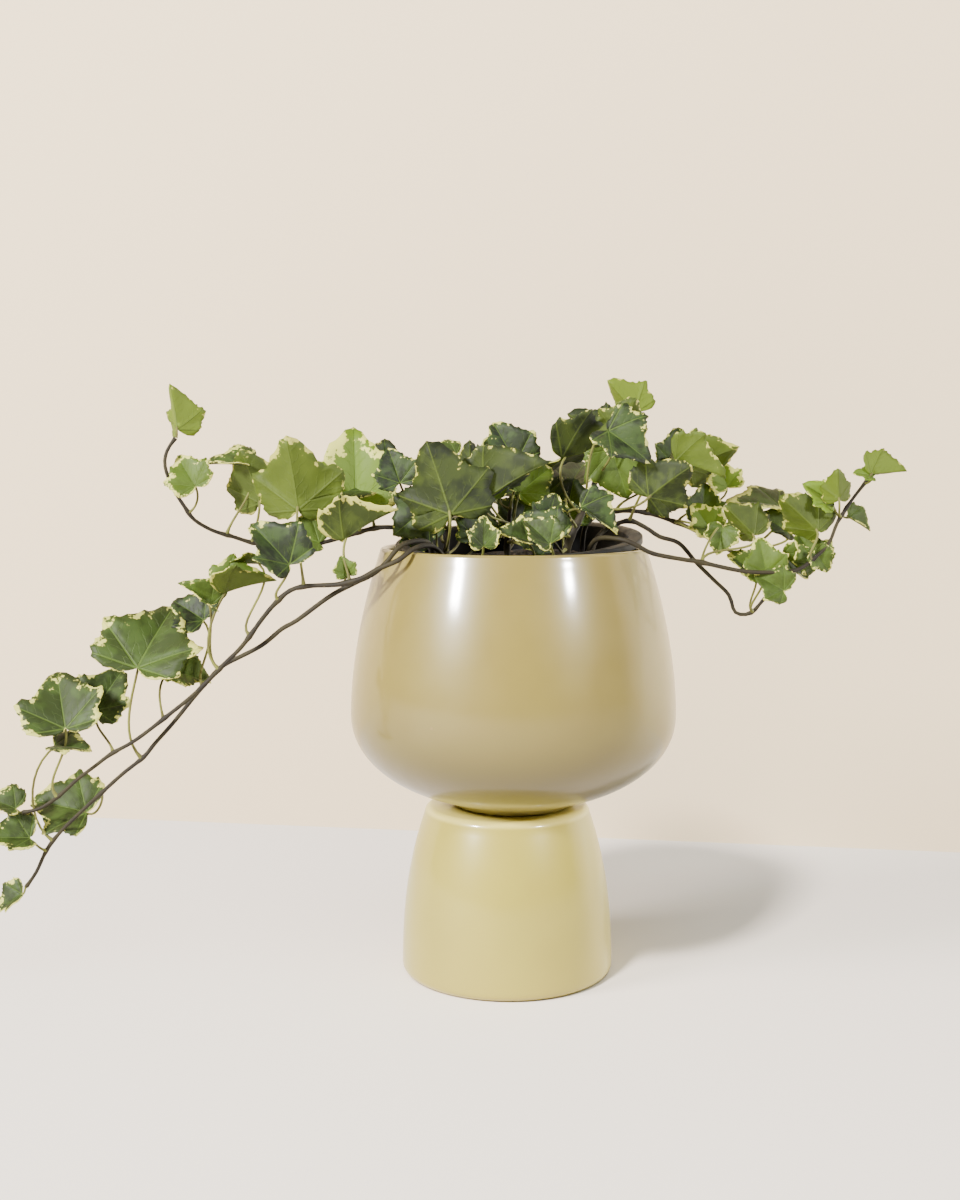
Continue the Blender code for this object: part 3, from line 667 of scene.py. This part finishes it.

# %% [markdown]
# ## Runners and crown stems
#
# Each stem is a route of given points, in millimetres from the middle of the bowl's rim. A
# smooth curve goes through them, and a bevel gives it its thickness. Ivy swells where each leaf
# grows, so the radius rises at those places. A row holds the radius at the root and at the tip, in
# millimetres, the root's place on the soil, and the route.

# %% Stem routes
STEMS = {
    "crown_left": (1.3, 0.8, (-33, -13), [(-31, -9, -2), (-30, -5, 7), (-29, 0, 15)]),
    "crown_middle": (1.3, 0.8, (-6, -6), [(-3, -2, -1), (-2, 2, 12), (-1, 5, 20)]),
    "crown_right": (1.7, 1.0, (20, -2), [(26, 0, 3), (31, 2, 14), (36, 5, 25), (40, 8, 35)]),
    "upper_left": (1.2, 0.8, (-38, 6), [
        (-39, 8, -4), (-49, 15, 6.5), (-59, 20, 8), (-68, 22, 7), (-78, 22, 4), (-89, 20, 1),
        (-98, 18, -1), (-111, 16, -1), (-123, 14, 1), (-132, 12, 4), (-141, 10, 7), (-149, 8, 12),
        (-153, 6, 18), (-158, 4, 27), (-161, 2, 37), (-160, 2, 44), (-156, 2, 50)]),
    "lower_left": (1.2, 0.8, (-28, -24), [
        (-35, -30, 1), (-43, -42, 2.3), (-51, -46, -3), (-60, -44, -7), (-67, -42, -11),
        (-77, -39, -14), (-91, -37, -15), (-99, -36, -17), (-106, -35, -23), (-112, -34, -30),
        (-121, -33, -42), (-130, -32, -51), (-142, -32, -63), (-153, -31, -72), (-170, -29, -85),
        (-182, -27, -92), (-190, -26, -98), (-198, -25, -104), (-207, -24, -112), (-216, -23, -118),
        (-224, -22, -120)]),
    "trailing_left": (1.2, 0.8, (-40, -6), [
        (-38, -20, 2.5), (-49, -38, 3.5), (-57, -41, -5), (-63, -38, -10), (-71, -34, -14),
        (-82, -31, -20), (-97, -29, -31), (-104, -28, -35), (-114, -27, -43), (-131, -26, -52),
        (-138, -26, -59), (-145, -25, -67), (-154, -25, -78), (-163, -24, -88), (-168, -24, -94),
        (-178, -23, -102), (-188, -22, -111), (-200, -21, -122), (-209, -20, -131),
        (-215, -19, -139), (-220, -18, -149), (-225, -17, -156)]),
    "right": (1.2, 0.7, (29, -12), [
        (36, -21, 4), (46, -34, 5.5), (53, -35, 3), (61, -33, -1), (76, -30, -4), (82, -28, -5),
        (100, -26, -9), (113, -24, -10), (127, -22, -9), (136, -20, -3), (142, -18, 3),
        (146, -16, 12), (152, -14, 21), (160, -12, 31)]),
    "drooping_right": (1.2, 0.8, (32, -4), [
        (40, 5, 5), (53, 9, 11.5), (62, 12, 8.5), (69, 12, 4), (78, 10, 1), (86, 8, -8),
        (94, 6, -16), (101, 5, -23), (104, 4, -31), (111, 2, -31), (118, 0, -23), (125, -2, -20)]),
    "back_right": (1.2, 0.8, (30, 14), [
        (35, 20, 9), (46, 24, 15), (62, 28, 15), (76, 30, 11), (88, 30, 6), (100, 28, -1),
        (112, 26, -8), (122, 22, -17)]),
}

# %% [markdown]
# ## The leaf plan
#
# A leaf is planned the way a botanist would note it: which stem it is on, how far along, the reach of
# its stalk in millimetres, where its tip points, where its face looks, its length in millimetres, its
# fold in degrees, and its kind. The large leaves stand for a solid each.

# %% Large leaves
LEAVES = {
    "upper_left_leaf_1": ("upper_left", 1.00, (1, 0, 5), (-0.1, 0.1, 1), (0.3, 1, 0.3), 21, 50, "young"),
    "upper_left_leaf_2": (
        "upper_left", 0.78, (4, -5, 13), (-0.5, 0.2, 0.8), (-0.2, -1, 0.6), 18, 20, "olive"),
    "upper_left_leaf_3": ("upper_left", 0.59, (5, -6, 20), (-0.3, -0.1, 1), (0.2, 1, 0.5), 27, 20, "olive"),
    "upper_left_leaf_4": ("upper_left", 0.29, (-1, -10, 15), (-0.05, 0.2, 1), (0, -1, 0.3), 38, 30, "pale"),
    "lower_left_leaf_1": (
        "lower_left", 0.27, (-2, 5, 19), (0.8, -0.2, 0.6), (-0.5, 0.5, 0.8), 29, 45, "mature"),
    "lower_left_leaf_2": (
        "lower_left", 0.35, (-3, 6, 35), (-0.1, -0.15, 1), (0.15, 1, 0.25), 34, 25, "olive"),
    "lower_left_leaf_3": (
        "lower_left", 0.40, (5, -7, 17), (-0.65, 0.05, 0.75), (0.1, -1, 0.7), 25, 40, "dark"),
    "lower_left_leaf_4": ("lower_left", 0.48, (4, 3, 32), (-1, -0.1, 0.1), (0, 0.1, 1), 15, 30, "olive"),
    "lower_left_leaf_5": (
        "lower_left", 0.56, (-3, -4, 30), (-0.6, -0.3, 0.6), (0.3, -0.7, 0.7), 17, 50, "olive"),
    "lower_left_leaf_6": ("lower_left", 0.60, (-3, 18, 28), (-0.8, 0.3, 0.5), (0, -0.9, 0.7), 19, 20, "dark"),
    "lower_left_leaf_7": ("lower_left", 0.69, (1, 18, 19), (0.9, 0.1, -0.2), (0.1, -0.6, 1), 19, 20, "olive"),
    "lower_left_leaf_8": ("lower_left", 0.80, (-12, 19, 17), (0.4, 0.3, 0.7), (0, -1, 0.6), 23, 20, "mature"),
    "lower_left_leaf_9": (
        "lower_left", 0.93, (6, -6, 34), (-0.2, 0.4, 0.6), (0, -0.8, 0.7), 30, 20, "mature"),
    "lower_left_leaf_10": (
        "lower_left", 1.00, (-4, 0, 2), (-0.9, 0, 0.4), (0.3, -0.5, 0.9), 16, 30, "mature"),
    "trailing_left_leaf_1": (
        "trailing_left", 0.71, (1, -6, 44), (0.35, 0.6, 0.8), (0, -0.8, 0.7), 37, 15, "mature"),
    "trailing_left_leaf_2": (
        "trailing_left", 0.80, (-12, 16, -12), (-0.9, 0.1, 0.2), (0.1, -0.7, 0.8), 28, 15, "mature"),
    "trailing_left_leaf_3": (
        "trailing_left", 0.93, (-6, -8, 8), (-0.9, -0.3, 0.1), (0, -0.6, 0.9), 20, 25, "mature"),
    "trailing_left_leaf_4": (
        "trailing_left", 1.00, (-3, 0, -4), (-0.7, 0.1, -0.5), (-0.2, -0.6, 0.8), 15, 30, "mature"),
    "crown_leaf_1": ("crown_left", 0.74, (-22, -12, 22), (-0.3, 0.1, 0.9), (0, -1, 0.4), 17, 20, "dark"),
    "crown_leaf_2": ("crown_left", 0.38, (2, -22, 19), (-0.3, 0.1, 0.95), (0.1, 1, 0.3), 34, 25, "shade"),
    "crown_leaf_3": ("crown_left", 0.20, (-9, -7, 25), (-0.75, 0, -0.6), (-0.1, -1, 0.3), 21, 10, "dark"),
    "crown_leaf_4": ("crown_left", 0.96, (9, -5, 17), (0, 0.2, 1), (0, 1, 0.6), 19, 40, "shade"),
    "crown_leaf_5": ("crown_middle", 0.91, (2, 0, 22), (-0.5, 0.1, 0.9), (0, -1, 0.4), 22, 25, "dark"),
    "crown_leaf_6": (
        "crown_middle", 0.66, (-10, -24, 13), (0.8, -0.1, 0.6), (-0.3, 0.8, 0.6), 34, 45, "shade"),
    "crown_leaf_7": ("crown_left", 0.31, (17, -39, 7), (0, 0.2, 1), (0, -1, 0.5), 14, 45, "soft"),
    "crown_leaf_8": ("crown_middle", 0.37, (17, -48, 3), (-0.6, 0.2, 0.6), (0, -0.9, 0.7), 16, 40, "soft"),
    "crown_leaf_9": ("crown_right", 0.28, (-12, -17, 8), (0.3, 0.2, 0.9), (0, -1, 0.4), 15, 40, "dark"),
    "crown_leaf_10": ("crown_right", 0.54, (-8, -3, 26), (0.8, 0.2, 0.2), (0, 0.6, 0.8), 33, 25, "dark"),
    "crown_leaf_11": ("crown_right", 0.89, (5, 12, 20), (-0.8, 0.2, 0.6), (0, 0.8, 0.7), 22, 40, "dark"),
    "crown_leaf_12": ("crown_right", 0.97, (17, 8, 29), (-0.7, 0.1, 0.9), (0.3, 0.8, 0.5), 20, 40, "young"),
    "crown_leaf_13": ("crown_right", 0.16, (-8, -26, 6), (-0.7, 0.2, 0.6), (0, -1, 0.4), 20, 25, "dark"),
    "crown_leaf_14": (
        "crown_right", 0.66, (9, -20, 32), (0.6, -0.2, -0.4), (-0.2, -0.8, 0.7), 24, 30, "shade"),
    "crown_leaf_15": ("crown_right", 0.76, (10, -3, 19), (0.3, -0.1, -1), (-0.3, -1, 0.2), 24, 20, "olive"),
    "crown_leaf_16": ("crown_right", 0.63, (28, -20, 5), (0.6, -0.1, 0.5), (0.1, 1, 0.3), 24, 20, "shade"),
    "crown_leaf_17": (
        "crown_right", 0.39, (1, -34, 10), (0.85, -0.2, -0.5), (0.1, -0.7, 0.8), 20, 45, "dark"),
    "right_leaf_1": ("right", 0.44, (25, 14, 12), (-0.6, -0.1, 0.6), (0.1, 1, 0.5), 20, 45, "olive"),
    "right_leaf_2": ("right", 0.74, (2, 2, 14), (-0.75, 0, 0.7), (0, 1, 0.4), 24, 45, "olive"),
    "right_leaf_3": ("right", 0.88, (-3, -8, 9), (-0.1, -0.1, 1), (0, 1, 0.4), 14, 45, "young"),
    "right_leaf_4": ("right", 0.91, (4, 11, -5), (0.8, 0.1, -0.4), (0, -0.6, 0.9), 13, 35, "olive"),
    "right_leaf_5": ("right", 1.00, (2, 0, 3), (0.95, 0.1, 0.1), (0, 0.8, 0.6), 17, 50, "young"),
    "drooping_right_leaf_1": (
        "drooping_right", 0.25, (20, -19, 28), (0.95, -0.2, -0.2), (0, 0.5, 0.9), 24, 50, "olive"),
    "drooping_right_leaf_2": (
        "drooping_right", 0.86, (-1, -10, 19), (-0.8, 0, 0.6), (0, -1, 0.6), 16, 45, "olive"),
    "drooping_right_leaf_3": (
        "drooping_right", 1.00, (-1, -6, 16), (0.6, -0.1, -0.5), (0, -0.9, 0.6), 16, 45, "olive"),
    "back_right_leaf_1": ("back_right", 0.29, (26, -14, 23), (0.1, 0.1, 1), (0, -1, 0.3), 18, 30, "soft"),
    "back_right_leaf_2": ("back_right", 0.42, (20, -12, 22), (0.9, 0, 0.5), (0, 0.9, 0.6), 25, 20, "olive"),
    "back_right_leaf_3": ("back_right", 0.55, (11, -14, 3), (0.1, 0.2, 1), (0, -1, 0.4), 18, 40, "soft"),
    "back_right_leaf_4": (
        "back_right", 0.87, (19, -12, 14), (-0.85, 0.1, 0.5), (0, -0.9, 0.8), 18, 35, "mature"),
}

# %% [markdown]
# Between the large leaves grow smaller ones, which hide the soil and close the crown. They ride on
# the same stems, and stand for no solid of their own.

# %% Small leaves
SMALL_LEAVES = {
    "upper_left_small_1": ("upper_left", 0.66, (9, -2, 33), (-1, 0.1, 0.1), (0, -0.35, 1), 20, 25, "mature"),
    "upper_left_small_2": ("upper_left", 0.43, (3, -1, 2), (-1, 0, 0.3), (0, -0.6, 0.8), 22, 25, "olive"),
    "upper_left_small_3": ("upper_left", 0.44, (5, 6, 21), (-0.4, 0.2, 0.9), (0, -1, 0.3), 18, 20, "pale"),
    "upper_left_small_4": ("upper_left", 0.29, (2, -10, 20), (-1, -0.2, 0), (0, -0.3, 1), 26, 10, "mature"),
    "upper_left_small_5": ("upper_left", 0.25, (4, 0, 29), (0.1, 0.3, 1), (0.3, -1, 0.3), 16, 30, "dark"),
    "lower_left_small_1": ("lower_left", 0.28, (1, 2, 4), (-0.3, 0, 0.9), (0, -1, 0.2), 9, 30, "olive"),
    "lower_left_small_2": (
        "lower_left", 0.56, (4, -4, 35), (0.9, 0.1, 0.35), (-0.3, -0.3, 0.9), 24, 65, "olive"),
    "trailing_left_small_1": (
        "trailing_left", 0.91, (5, -8, 46), (1, 0, -0.05), (0, -0.25, 1), 17, 15, "mature"),
    "crown_small_1": ("crown_left", 0.96, (2, 9, 29), (-1, 0, 0.25), (0, -0.5, 0.9), 13, 20, "mature"),
    "crown_small_2": ("crown_middle", 0.91, (-7, 10, 21), (-0.3, 0.2, 0.95), (0, -1, 0.5), 14, 30, "mature"),
    "crown_small_3": ("crown_middle", 0.66, (-10, -13, 12), (-0.6, 0.2, 0.8), (0, -1, 0.4), 20, 30, "dark"),
    "crown_small_4": ("crown_middle", 0.53, (6, 0, 19), (0.7, 0.2, 0.6), (0, -1, 0.5), 20, 25, "olive"),
    "crown_small_5": (
        "crown_middle", 0.06, (8, -43, 13), (-0.9, -0.1, 0.3), (0, -0.6, 0.8), 15, 35, "mature"),
    "crown_small_6": ("crown_right", 0.28, (-8, -20, 10), (0.5, -0.3, -0.8), (0, -1, 0.2), 8, 40, "pale"),
    "crown_small_7": ("crown_middle", 0.26, (6, 11, 11), (0.3, 0.3, 0.9), (0, -1, 0.3), 20, 20, "dark"),
    "crown_small_8": ("crown_middle", 0.39, (13, 12, 16), (0.6, 0.2, 0.6), (0, -1, 0.6), 22, 20, "dark"),
    "crown_small_9": ("crown_right", 0.09, (1, 8, 18), (0.2, 0.2, 0.9), (0, -1, 0.3), 20, 20, "dark"),
    "crown_small_10": ("crown_left", 0.16, (-9, 15, 11), (-0.6, 0.2, 0.6), (0, -1, 0.5), 18, 20, "dark"),
    "crown_small_11": ("crown_left", 0.16, (14, 16, 11), (0.2, 0.2, 0.9), (0, -1, 0.4), 18, 20, "dark"),
    "crown_small_12": ("crown_middle", 0.46, (-4, 29, 20), (0, 0.6, 0.7), (0, -0.3, 1), 26, 20, "dark"),
    "crown_small_13": ("crown_left", 0.55, (-4, 32, 18), (-0.5, 0.6, 0.5), (0, 0.3, 1), 26, 20, "dark"),
    "crown_small_14": ("crown_right", 0.44, (-1, 29, 18), (0.3, 0.8, 0.4), (0, -0.2, 1), 26, 20, "dark"),
    "crown_small_15": ("crown_middle", 0.26, (6, 37, 17), (0.1, 1, 0.1), (0, 0.1, 1), 24, 20, "mature"),
    "crown_small_16": ("crown_left", 0.31, (4, 43, 14), (-0.4, 0.9, 0), (0, 0, 1), 24, 20, "mature"),
    "back_right_small_1": (
        "back_right", 0.56, (22, -10, 18), (-0.3, 0.2, 0.95), (0, -1, 0.3), 14, 20, "pale"),
    "back_right_small_2": (
        "back_right", 0.87, (14, -8, 26), (-0.95, 0, 0.15), (0, -0.3, 1), 26, 15, "mature"),
    "back_right_small_3": ("back_right", 0.55, (13, -24, -2), (-0.5, 0.1, 0.8), (0, -1, 0.5), 15, 25, "pale"),
    "right_small_1": ("right", 0.44, (12, 18, 14), (-0.2, -0.1, -0.9), (0, -1, 0.4), 13, 25, "olive"),
    "right_small_2": ("right", 0.88, (-4, 1, 7), (-0.8, 0.1, 0.6), (0, -0.8, 0.6), 16, 25, "young"),
    "right_small_3": ("right", 0.99, (3, 0, 3), (-0.95, 0, 0.3), (0, -0.6, 0.8), 9, 20, "young"),
    "right_small_4": ("right", 0.74, (2, 2, 3), (0.7, 0, -0.8), (0, -1, 0.4), 11, 25, "olive"),
    "right_small_5": ("right", 0.74, (4, 10, -2), (-0.5, 0, 0.9), (0, -1, 0.4), 17, 25, "olive"),
    "drooping_right_small_1": (
        "drooping_right", 0.86, (2, -20, 20), (-0.2, 0, 1), (0, -1, 0.3), 17, 25, "olive"),
    "drooping_right_small_2": (
        "drooping_right", 0.94, (2, -24, 5), (-0.8, 0, 0.5), (0, -1, 0.4), 15, 25, "olive"),
    "crown_small_17": ("crown_right", 0.93, (9, -11, 19), (0.4, -0.1, 1), (0, 1, 0.5), 20, 25, "olive"),
}
KINDS = {  # how creamy and how young
    "dark": (0.14, 0.0),
    "mature": (0.44, 0.12),
    "shade": (0.20, 0.0),
    "olive": (0.28, 0.4),
    "soft": (0.34, 0.1),
    "pale": (0.55, 0.9),
    "young": (0.08, 0.95),
}
print(len(LEAVES), "large leaves,", len(SMALL_LEAVES), "small ones")

# %% [markdown]
# Three measuring tools lay the plant out: a smooth path through the route's points, a place at a
# share of the path's length, and the stem's radius there.

# %% Paths
STEP = 2.5 * MM


def smooth_span(points, i, count):
    """Points from the given one at i to the next, on a smooth curve through them all."""
    a, b = points[i], points[i + 1]
    before, after = points[max(i - 1, 0)], points[min(i + 2, len(points) - 1)]
    return interpolate_bezier(a, a + (b - before) / 6, b - (after - a) / 6, b, count)


def smooth_path(points, step):
    """Points about a step apart on a smooth curve through the given ones."""
    path = [points[0]]
    for i, (a, b) in enumerate(zip(points, points[1:])):
        steps = max(1, round((b - a).length / step))
        path += smooth_span(points, i, steps + 1)[1:]
    return path


def path_length(path):
    return sum((b - a).length for a, b in zip(path, path[1:]))


def place_on(path, along):
    """The point at a share of a path's length, and the path's direction there."""
    left = along * path_length(path)
    for a, b in zip(path, path[1:]):
        length = (b - a).length
        if left <= length:
            break
        left -= length
    else:
        left = length
    direction = (b - a).normalized()
    return a + direction * left, direction


def route_of(stem):
    _, _, (x, y), route = STEMS[stem]
    root = pot_frame @ Vector((x * MM, y * MM, soil_top(math.hypot(x, y) * MM) - MM))
    return [root, *(Vector((BOWL_SHIFT + a * MM, b * MM, POT_HEIGHT + c * MM)) for a, b, c in route)]


paths = {stem: smooth_path(route_of(stem), STEP) for stem in STEMS}
for stem, path in paths.items():
    print(stem, round(path_length(path) / MM), "mm")

# %% [markdown]
# A tube starts as a curve primitive. Its points are laid along the path, each with its own radius,
# the bevel makes it round, and it is converted to a mesh so that it can be joined to other pieces.

# %% Tube
def tube(name, path, radii, roundness=3):
    clear_selection()
    bpy.ops.curve.primitive_nurbs_path_add(location=(0, 0, 0))
    obj = bpy.context.object
    obj.name = name
    curve = obj.data
    curve.splines.clear()
    spline = curve.splines.new("POLY")
    spline.points.add(len(path) - 1)
    for point, place, radius in zip(spline.points, path, radii):
        point.co = (*place, 1)
        point.radius = radius
    curve.bevel_depth = 1.0
    curve.bevel_resolution = roundness
    curve.use_fill_caps = True
    bpy.ops.object.convert(target="MESH")
    obj = bpy.context.object
    bpy.ops.object.shade_smooth_by_angle(angle=math.radians(60))
    return obj


def stem_radius(stem, along):
    thick, thin = STEMS[stem][:2]
    return (thick + (thin - thick) * along) * MM


def knots(stem):
    """How far along a stem its leaves grow, in metres."""
    plans = [*LEAVES.values(), *SMALL_LEAVES.values()]
    return [plan[1] * path_length(paths[stem]) for plan in plans if plan[0] == stem]


KNOT_LENGTH, KNOT_SWELL, UNEVEN = 1.9 * MM, 0.38, 0.04


def make_stem(stem):
    path = paths[stem]
    total, gone, radii = path_length(path), 0.0, []
    rng = random.Random(stem)
    for i, point in enumerate(path):
        gone += (point - path[i - 1]).length if i else 0
        swell = max([math.exp(-(((gone - knot) / KNOT_LENGTH) ** 2)) for knot in knots(stem)], default=0)
        rough = rng.uniform(-UNEVEN, UNEVEN)
        radii.append(stem_radius(stem, gone / total) * (1 + KNOT_SWELL * swell + rough))
    obj = tube(f"{stem}_bark", path, radii)
    obj.data.materials.clear()
    obj.data.materials.append(bark)
    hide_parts(stem)
    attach(obj, "root")
    return obj


stems = [make_stem(stem) for stem in STEMS]
print("stems:", len(stems), "with", sum(len(o.data.polygons) for o in stems), "faces")

# %% [markdown]
# ## The outline of a leaf
#
# An ivy leaf has five lobes: one at the tip, two at the sides and two low ones by the stalk. Each lobe
# ends in a point, and the bays between them are round. So the right half is drawn as three smooth
# pieces that meet at the points. No two leaves match: each key point is nudged, and the margin
# gets small teeth.

# %% Outline
HALF = (
    ((0, 0), (0.11, -0.08), (0.28, -0.14), (0.46, -0.11), (0.61, 0.0)),
    ((0.61, 0.0), (0.59, 0.10), (0.60, 0.19), (0.65, 0.30), (0.70, 0.43)),
    ((0.70, 0.43), (0.57, 0.50), (0.45, 0.56), (0.35, 0.67), (0.20, 0.85), (0, 1)),
)
NUDGE, LEAST_TOOTH, MOST_TOOTH = 0.035, 0.008, 0.046


def half_outline(rng):
    nudge = {}
    points = []
    for piece in HALF:
        moved = []
        for x, y in piece:
            if (x, y) not in nudge:
                loose = NUDGE * (x > 0)  # a point on the midrib stays there
                nudge[x, y] = Vector((x + rng.uniform(-loose, loose), y + rng.uniform(-loose, loose), 0))
            moved.append(nudge[x, y])
        for i in range(len(moved) - 1):
            points += smooth_span(moved, i, 4)[:-1]
    teeth = [0.0] + [rng.uniform(LEAST_TOOTH, MOST_TOOTH) * (i % 3 == 1) for i in range(1, len(points))]
    return [p + p.normalized() * tooth if p.length else p for p, tooth in zip(points, teeth)]


def outline(rng):
    right, left = half_outline(rng), half_outline(rng)
    mirrored = [Vector((-p.x, p.y, 0)) for p in left[:0:-1]]
    return [*right, Vector((0, 1, 0)), *mirrored]


print("outline points:", len(outline(random.Random(1))))

# %% [markdown]
# ## A blade
#
# Rings of points run from a hub near the stalk out to the outline, which suits veins that fan out.
# Each point is then lifted: the halves fold up along the midrib, the length curls, the bays between
# the veins puff up a little, and the margin waves. This is sculpting by rule, so a mesh built point by
# point is easier here than edit-mode operators.

# %% Blade
RINGS = 6
HUB = Vector((0, 0.10, 0))
JOINT_SHIFT = 0.05
CREASE = 0.03  # how round the fold is along the midrib
DROOP_FROM, DROOP = 0.35, 10 / 3  # where the side lobes begin to hang, and how much
PUFF, PUFF_FROM = 0.022, 0.045  # how high the bays puff up, and how near to a vein they start
WAVES = 7


def lifted(p, share, fold, curl, wave, phase):
    """Where a point of the flat outline goes, for a blade of length 1."""
    y = p.y - JOINT_SHIFT
    angle = math.atan2(abs(p.x), p.y) if p.length else 0
    off = min(p.length * abs(math.sin(angle - vein)) for vein in VEINS)
    height = (math.hypot(p.x, CREASE) - CREASE) * math.sin(fold) - curl * y * abs(y)
    height -= DROOP * curl * max(0, abs(p.x) - DROOP_FROM) ** 2
    height += PUFF * (1 - math.exp(-((off / PUFF_FROM) ** 2))) * min(1, p.length * 2.5)
    height += wave * share**3 * math.sin(WAVES * math.atan2(p.x, p.y) + phase)
    return Vector((p.x * math.cos(fold), y, height))


def blade(name, length, fold, kind, seed):
    rng = random.Random(seed)
    rim = outline(rng)
    curl, wave, phase = rng.uniform(0.06, 0.2), rng.uniform(0.012, 0.035), rng.uniform(0, 6)
    bm = bmesh.new()
    flat = bm.loops.layers.uv.new("blade")
    edge = bm.verts.layers.float.new("edge")
    plan = {}

    def add(p, share):
        vert = bm.verts.new(lifted(p, share, fold, curl, wave, phase) * length)
        vert[edge] = share
        plan[vert] = p
        return vert

    centre = add(HUB, 0)
    rings = [[add(HUB.lerp(p, (i + 1) / RINGS), (i + 1) / RINGS) for p in rim] for i in range(RINGS)]
    for i in range(len(rim)):
        j = (i + 1) % len(rim)
        bm.faces.new((centre, rings[0][i], rings[0][j]))
        for inner, outer in zip(rings, rings[1:]):
            bm.faces.new((inner[i], outer[i], outer[j], inner[j]))
    for face in bm.faces:
        face.smooth = True
        for loop in face.loops:
            p = plan[loop.vert]
            loop[flat].uv = ((p.x - MAP_LEFT) / MAP_SIZE, (p.y - MAP_LOW) / MAP_SIZE)
    mesh = bpy.data.meshes.new(name)
    bm.to_mesh(mesh)
    bm.free()
    traits = mesh.attributes.new("traits", "FLOAT_COLOR", "POINT")
    creamy, young = KINDS[kind]
    creamy, young = creamy * rng.uniform(0.7, 1.3), min(1, young * rng.uniform(0.6, 1.3))
    for item in traits.data:
        item.color = (creamy, young, (seed % 97) / 97, 1)
    obj = bpy.data.objects.new(name, mesh)
    bpy.context.scene.collection.objects.link(obj)
    return obj


# %% [markdown]
# ## From blade to leaf
#
# The blade faces up with its tip along Y, so it is turned by the three directions of the plan. It gets
# its thickness from a Solidify modifier, which also gives the back its own finish. The stalk leaves
# the stem squarely, swells at its foot, and is joined on.

# %% Leaf
BLADE_THICKNESS = 0.45 * MM
STALK_GAP = 0.3 * MM
STALK_RADIUS, FOOT_SWELL = 0.58, 0.5  # millimetres
STALK_POINTS = 12


def stalk_line(foot, out, joint, tip, face, reach):
    """Leaves the stem along out, and comes up to the joint from under the blade."""
    under = joint - (face * 0.6 + tip * 0.8) * 0.4 * reach
    return interpolate_bezier(foot, foot + out * 0.3 * reach, under, joint, STALK_POINTS)


def make_leaf(name, plan, seed):
    stem, along, reach, tip, face, length, fold, kind = plan
    place, direction = place_on(paths[stem], along)
    joint = place + Vector(reach) * MM
    tip = Vector(tip).normalized()
    side = tip.cross(Vector(face)).normalized()
    face = side.cross(tip)
    stalk = joint - place
    out = direction if along == 1 else (stalk - stalk.project(direction)).normalized()
    obj = blade(name, length * MM, math.radians(fold), kind, seed)
    obj.data.transform(Matrix.Translation(joint) @ Matrix((side, tip, face)).transposed().to_4x4())
    for finish in (leaf_face, leaf_back):
        obj.data.materials.append(finish)
    select_only(obj)
    skin = obj.modifiers.new("skin", "SOLIDIFY")
    skin.thickness, skin.offset, skin.material_offset = BLADE_THICKNESS, -1, 1
    bpy.ops.object.modifier_apply(modifier="skin")
    foot = place + out * stem_radius(stem, along) * 0.6
    line = stalk_line(foot, out, joint - face * STALK_GAP, tip, face, stalk.length)
    slim = min(1, 0.75 + length / 100)
    widths = [(STALK_RADIUS + FOOT_SWELL * math.exp(-i * 1.3)) * MM * slim for i in range(len(line))]
    rod = tube(f"{name}_stalk", line, widths, 2)
    rod.data.materials.clear()
    rod.data.materials.append(stalk_skin)
    select_only(obj)
    rod.select_set(True)
    bpy.ops.object.join()
    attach(obj, "root")
    return obj


# %% Grow the leaves
FIRST_SEED = 11
leaf_faces = 0
for seed, (name, plan) in enumerate({**LEAVES, **SMALL_LEAVES}.items(), FIRST_SEED):
    leaf = make_leaf(f"{name}_grown" if name in LEAVES else name, plan, seed)
    if name in LEAVES:
        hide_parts(name)
    leaf_faces += len(leaf.data.polygons)
print("leaves:", len(LEAVES) + len(SMALL_LEAVES), "with", leaf_faces, "faces")
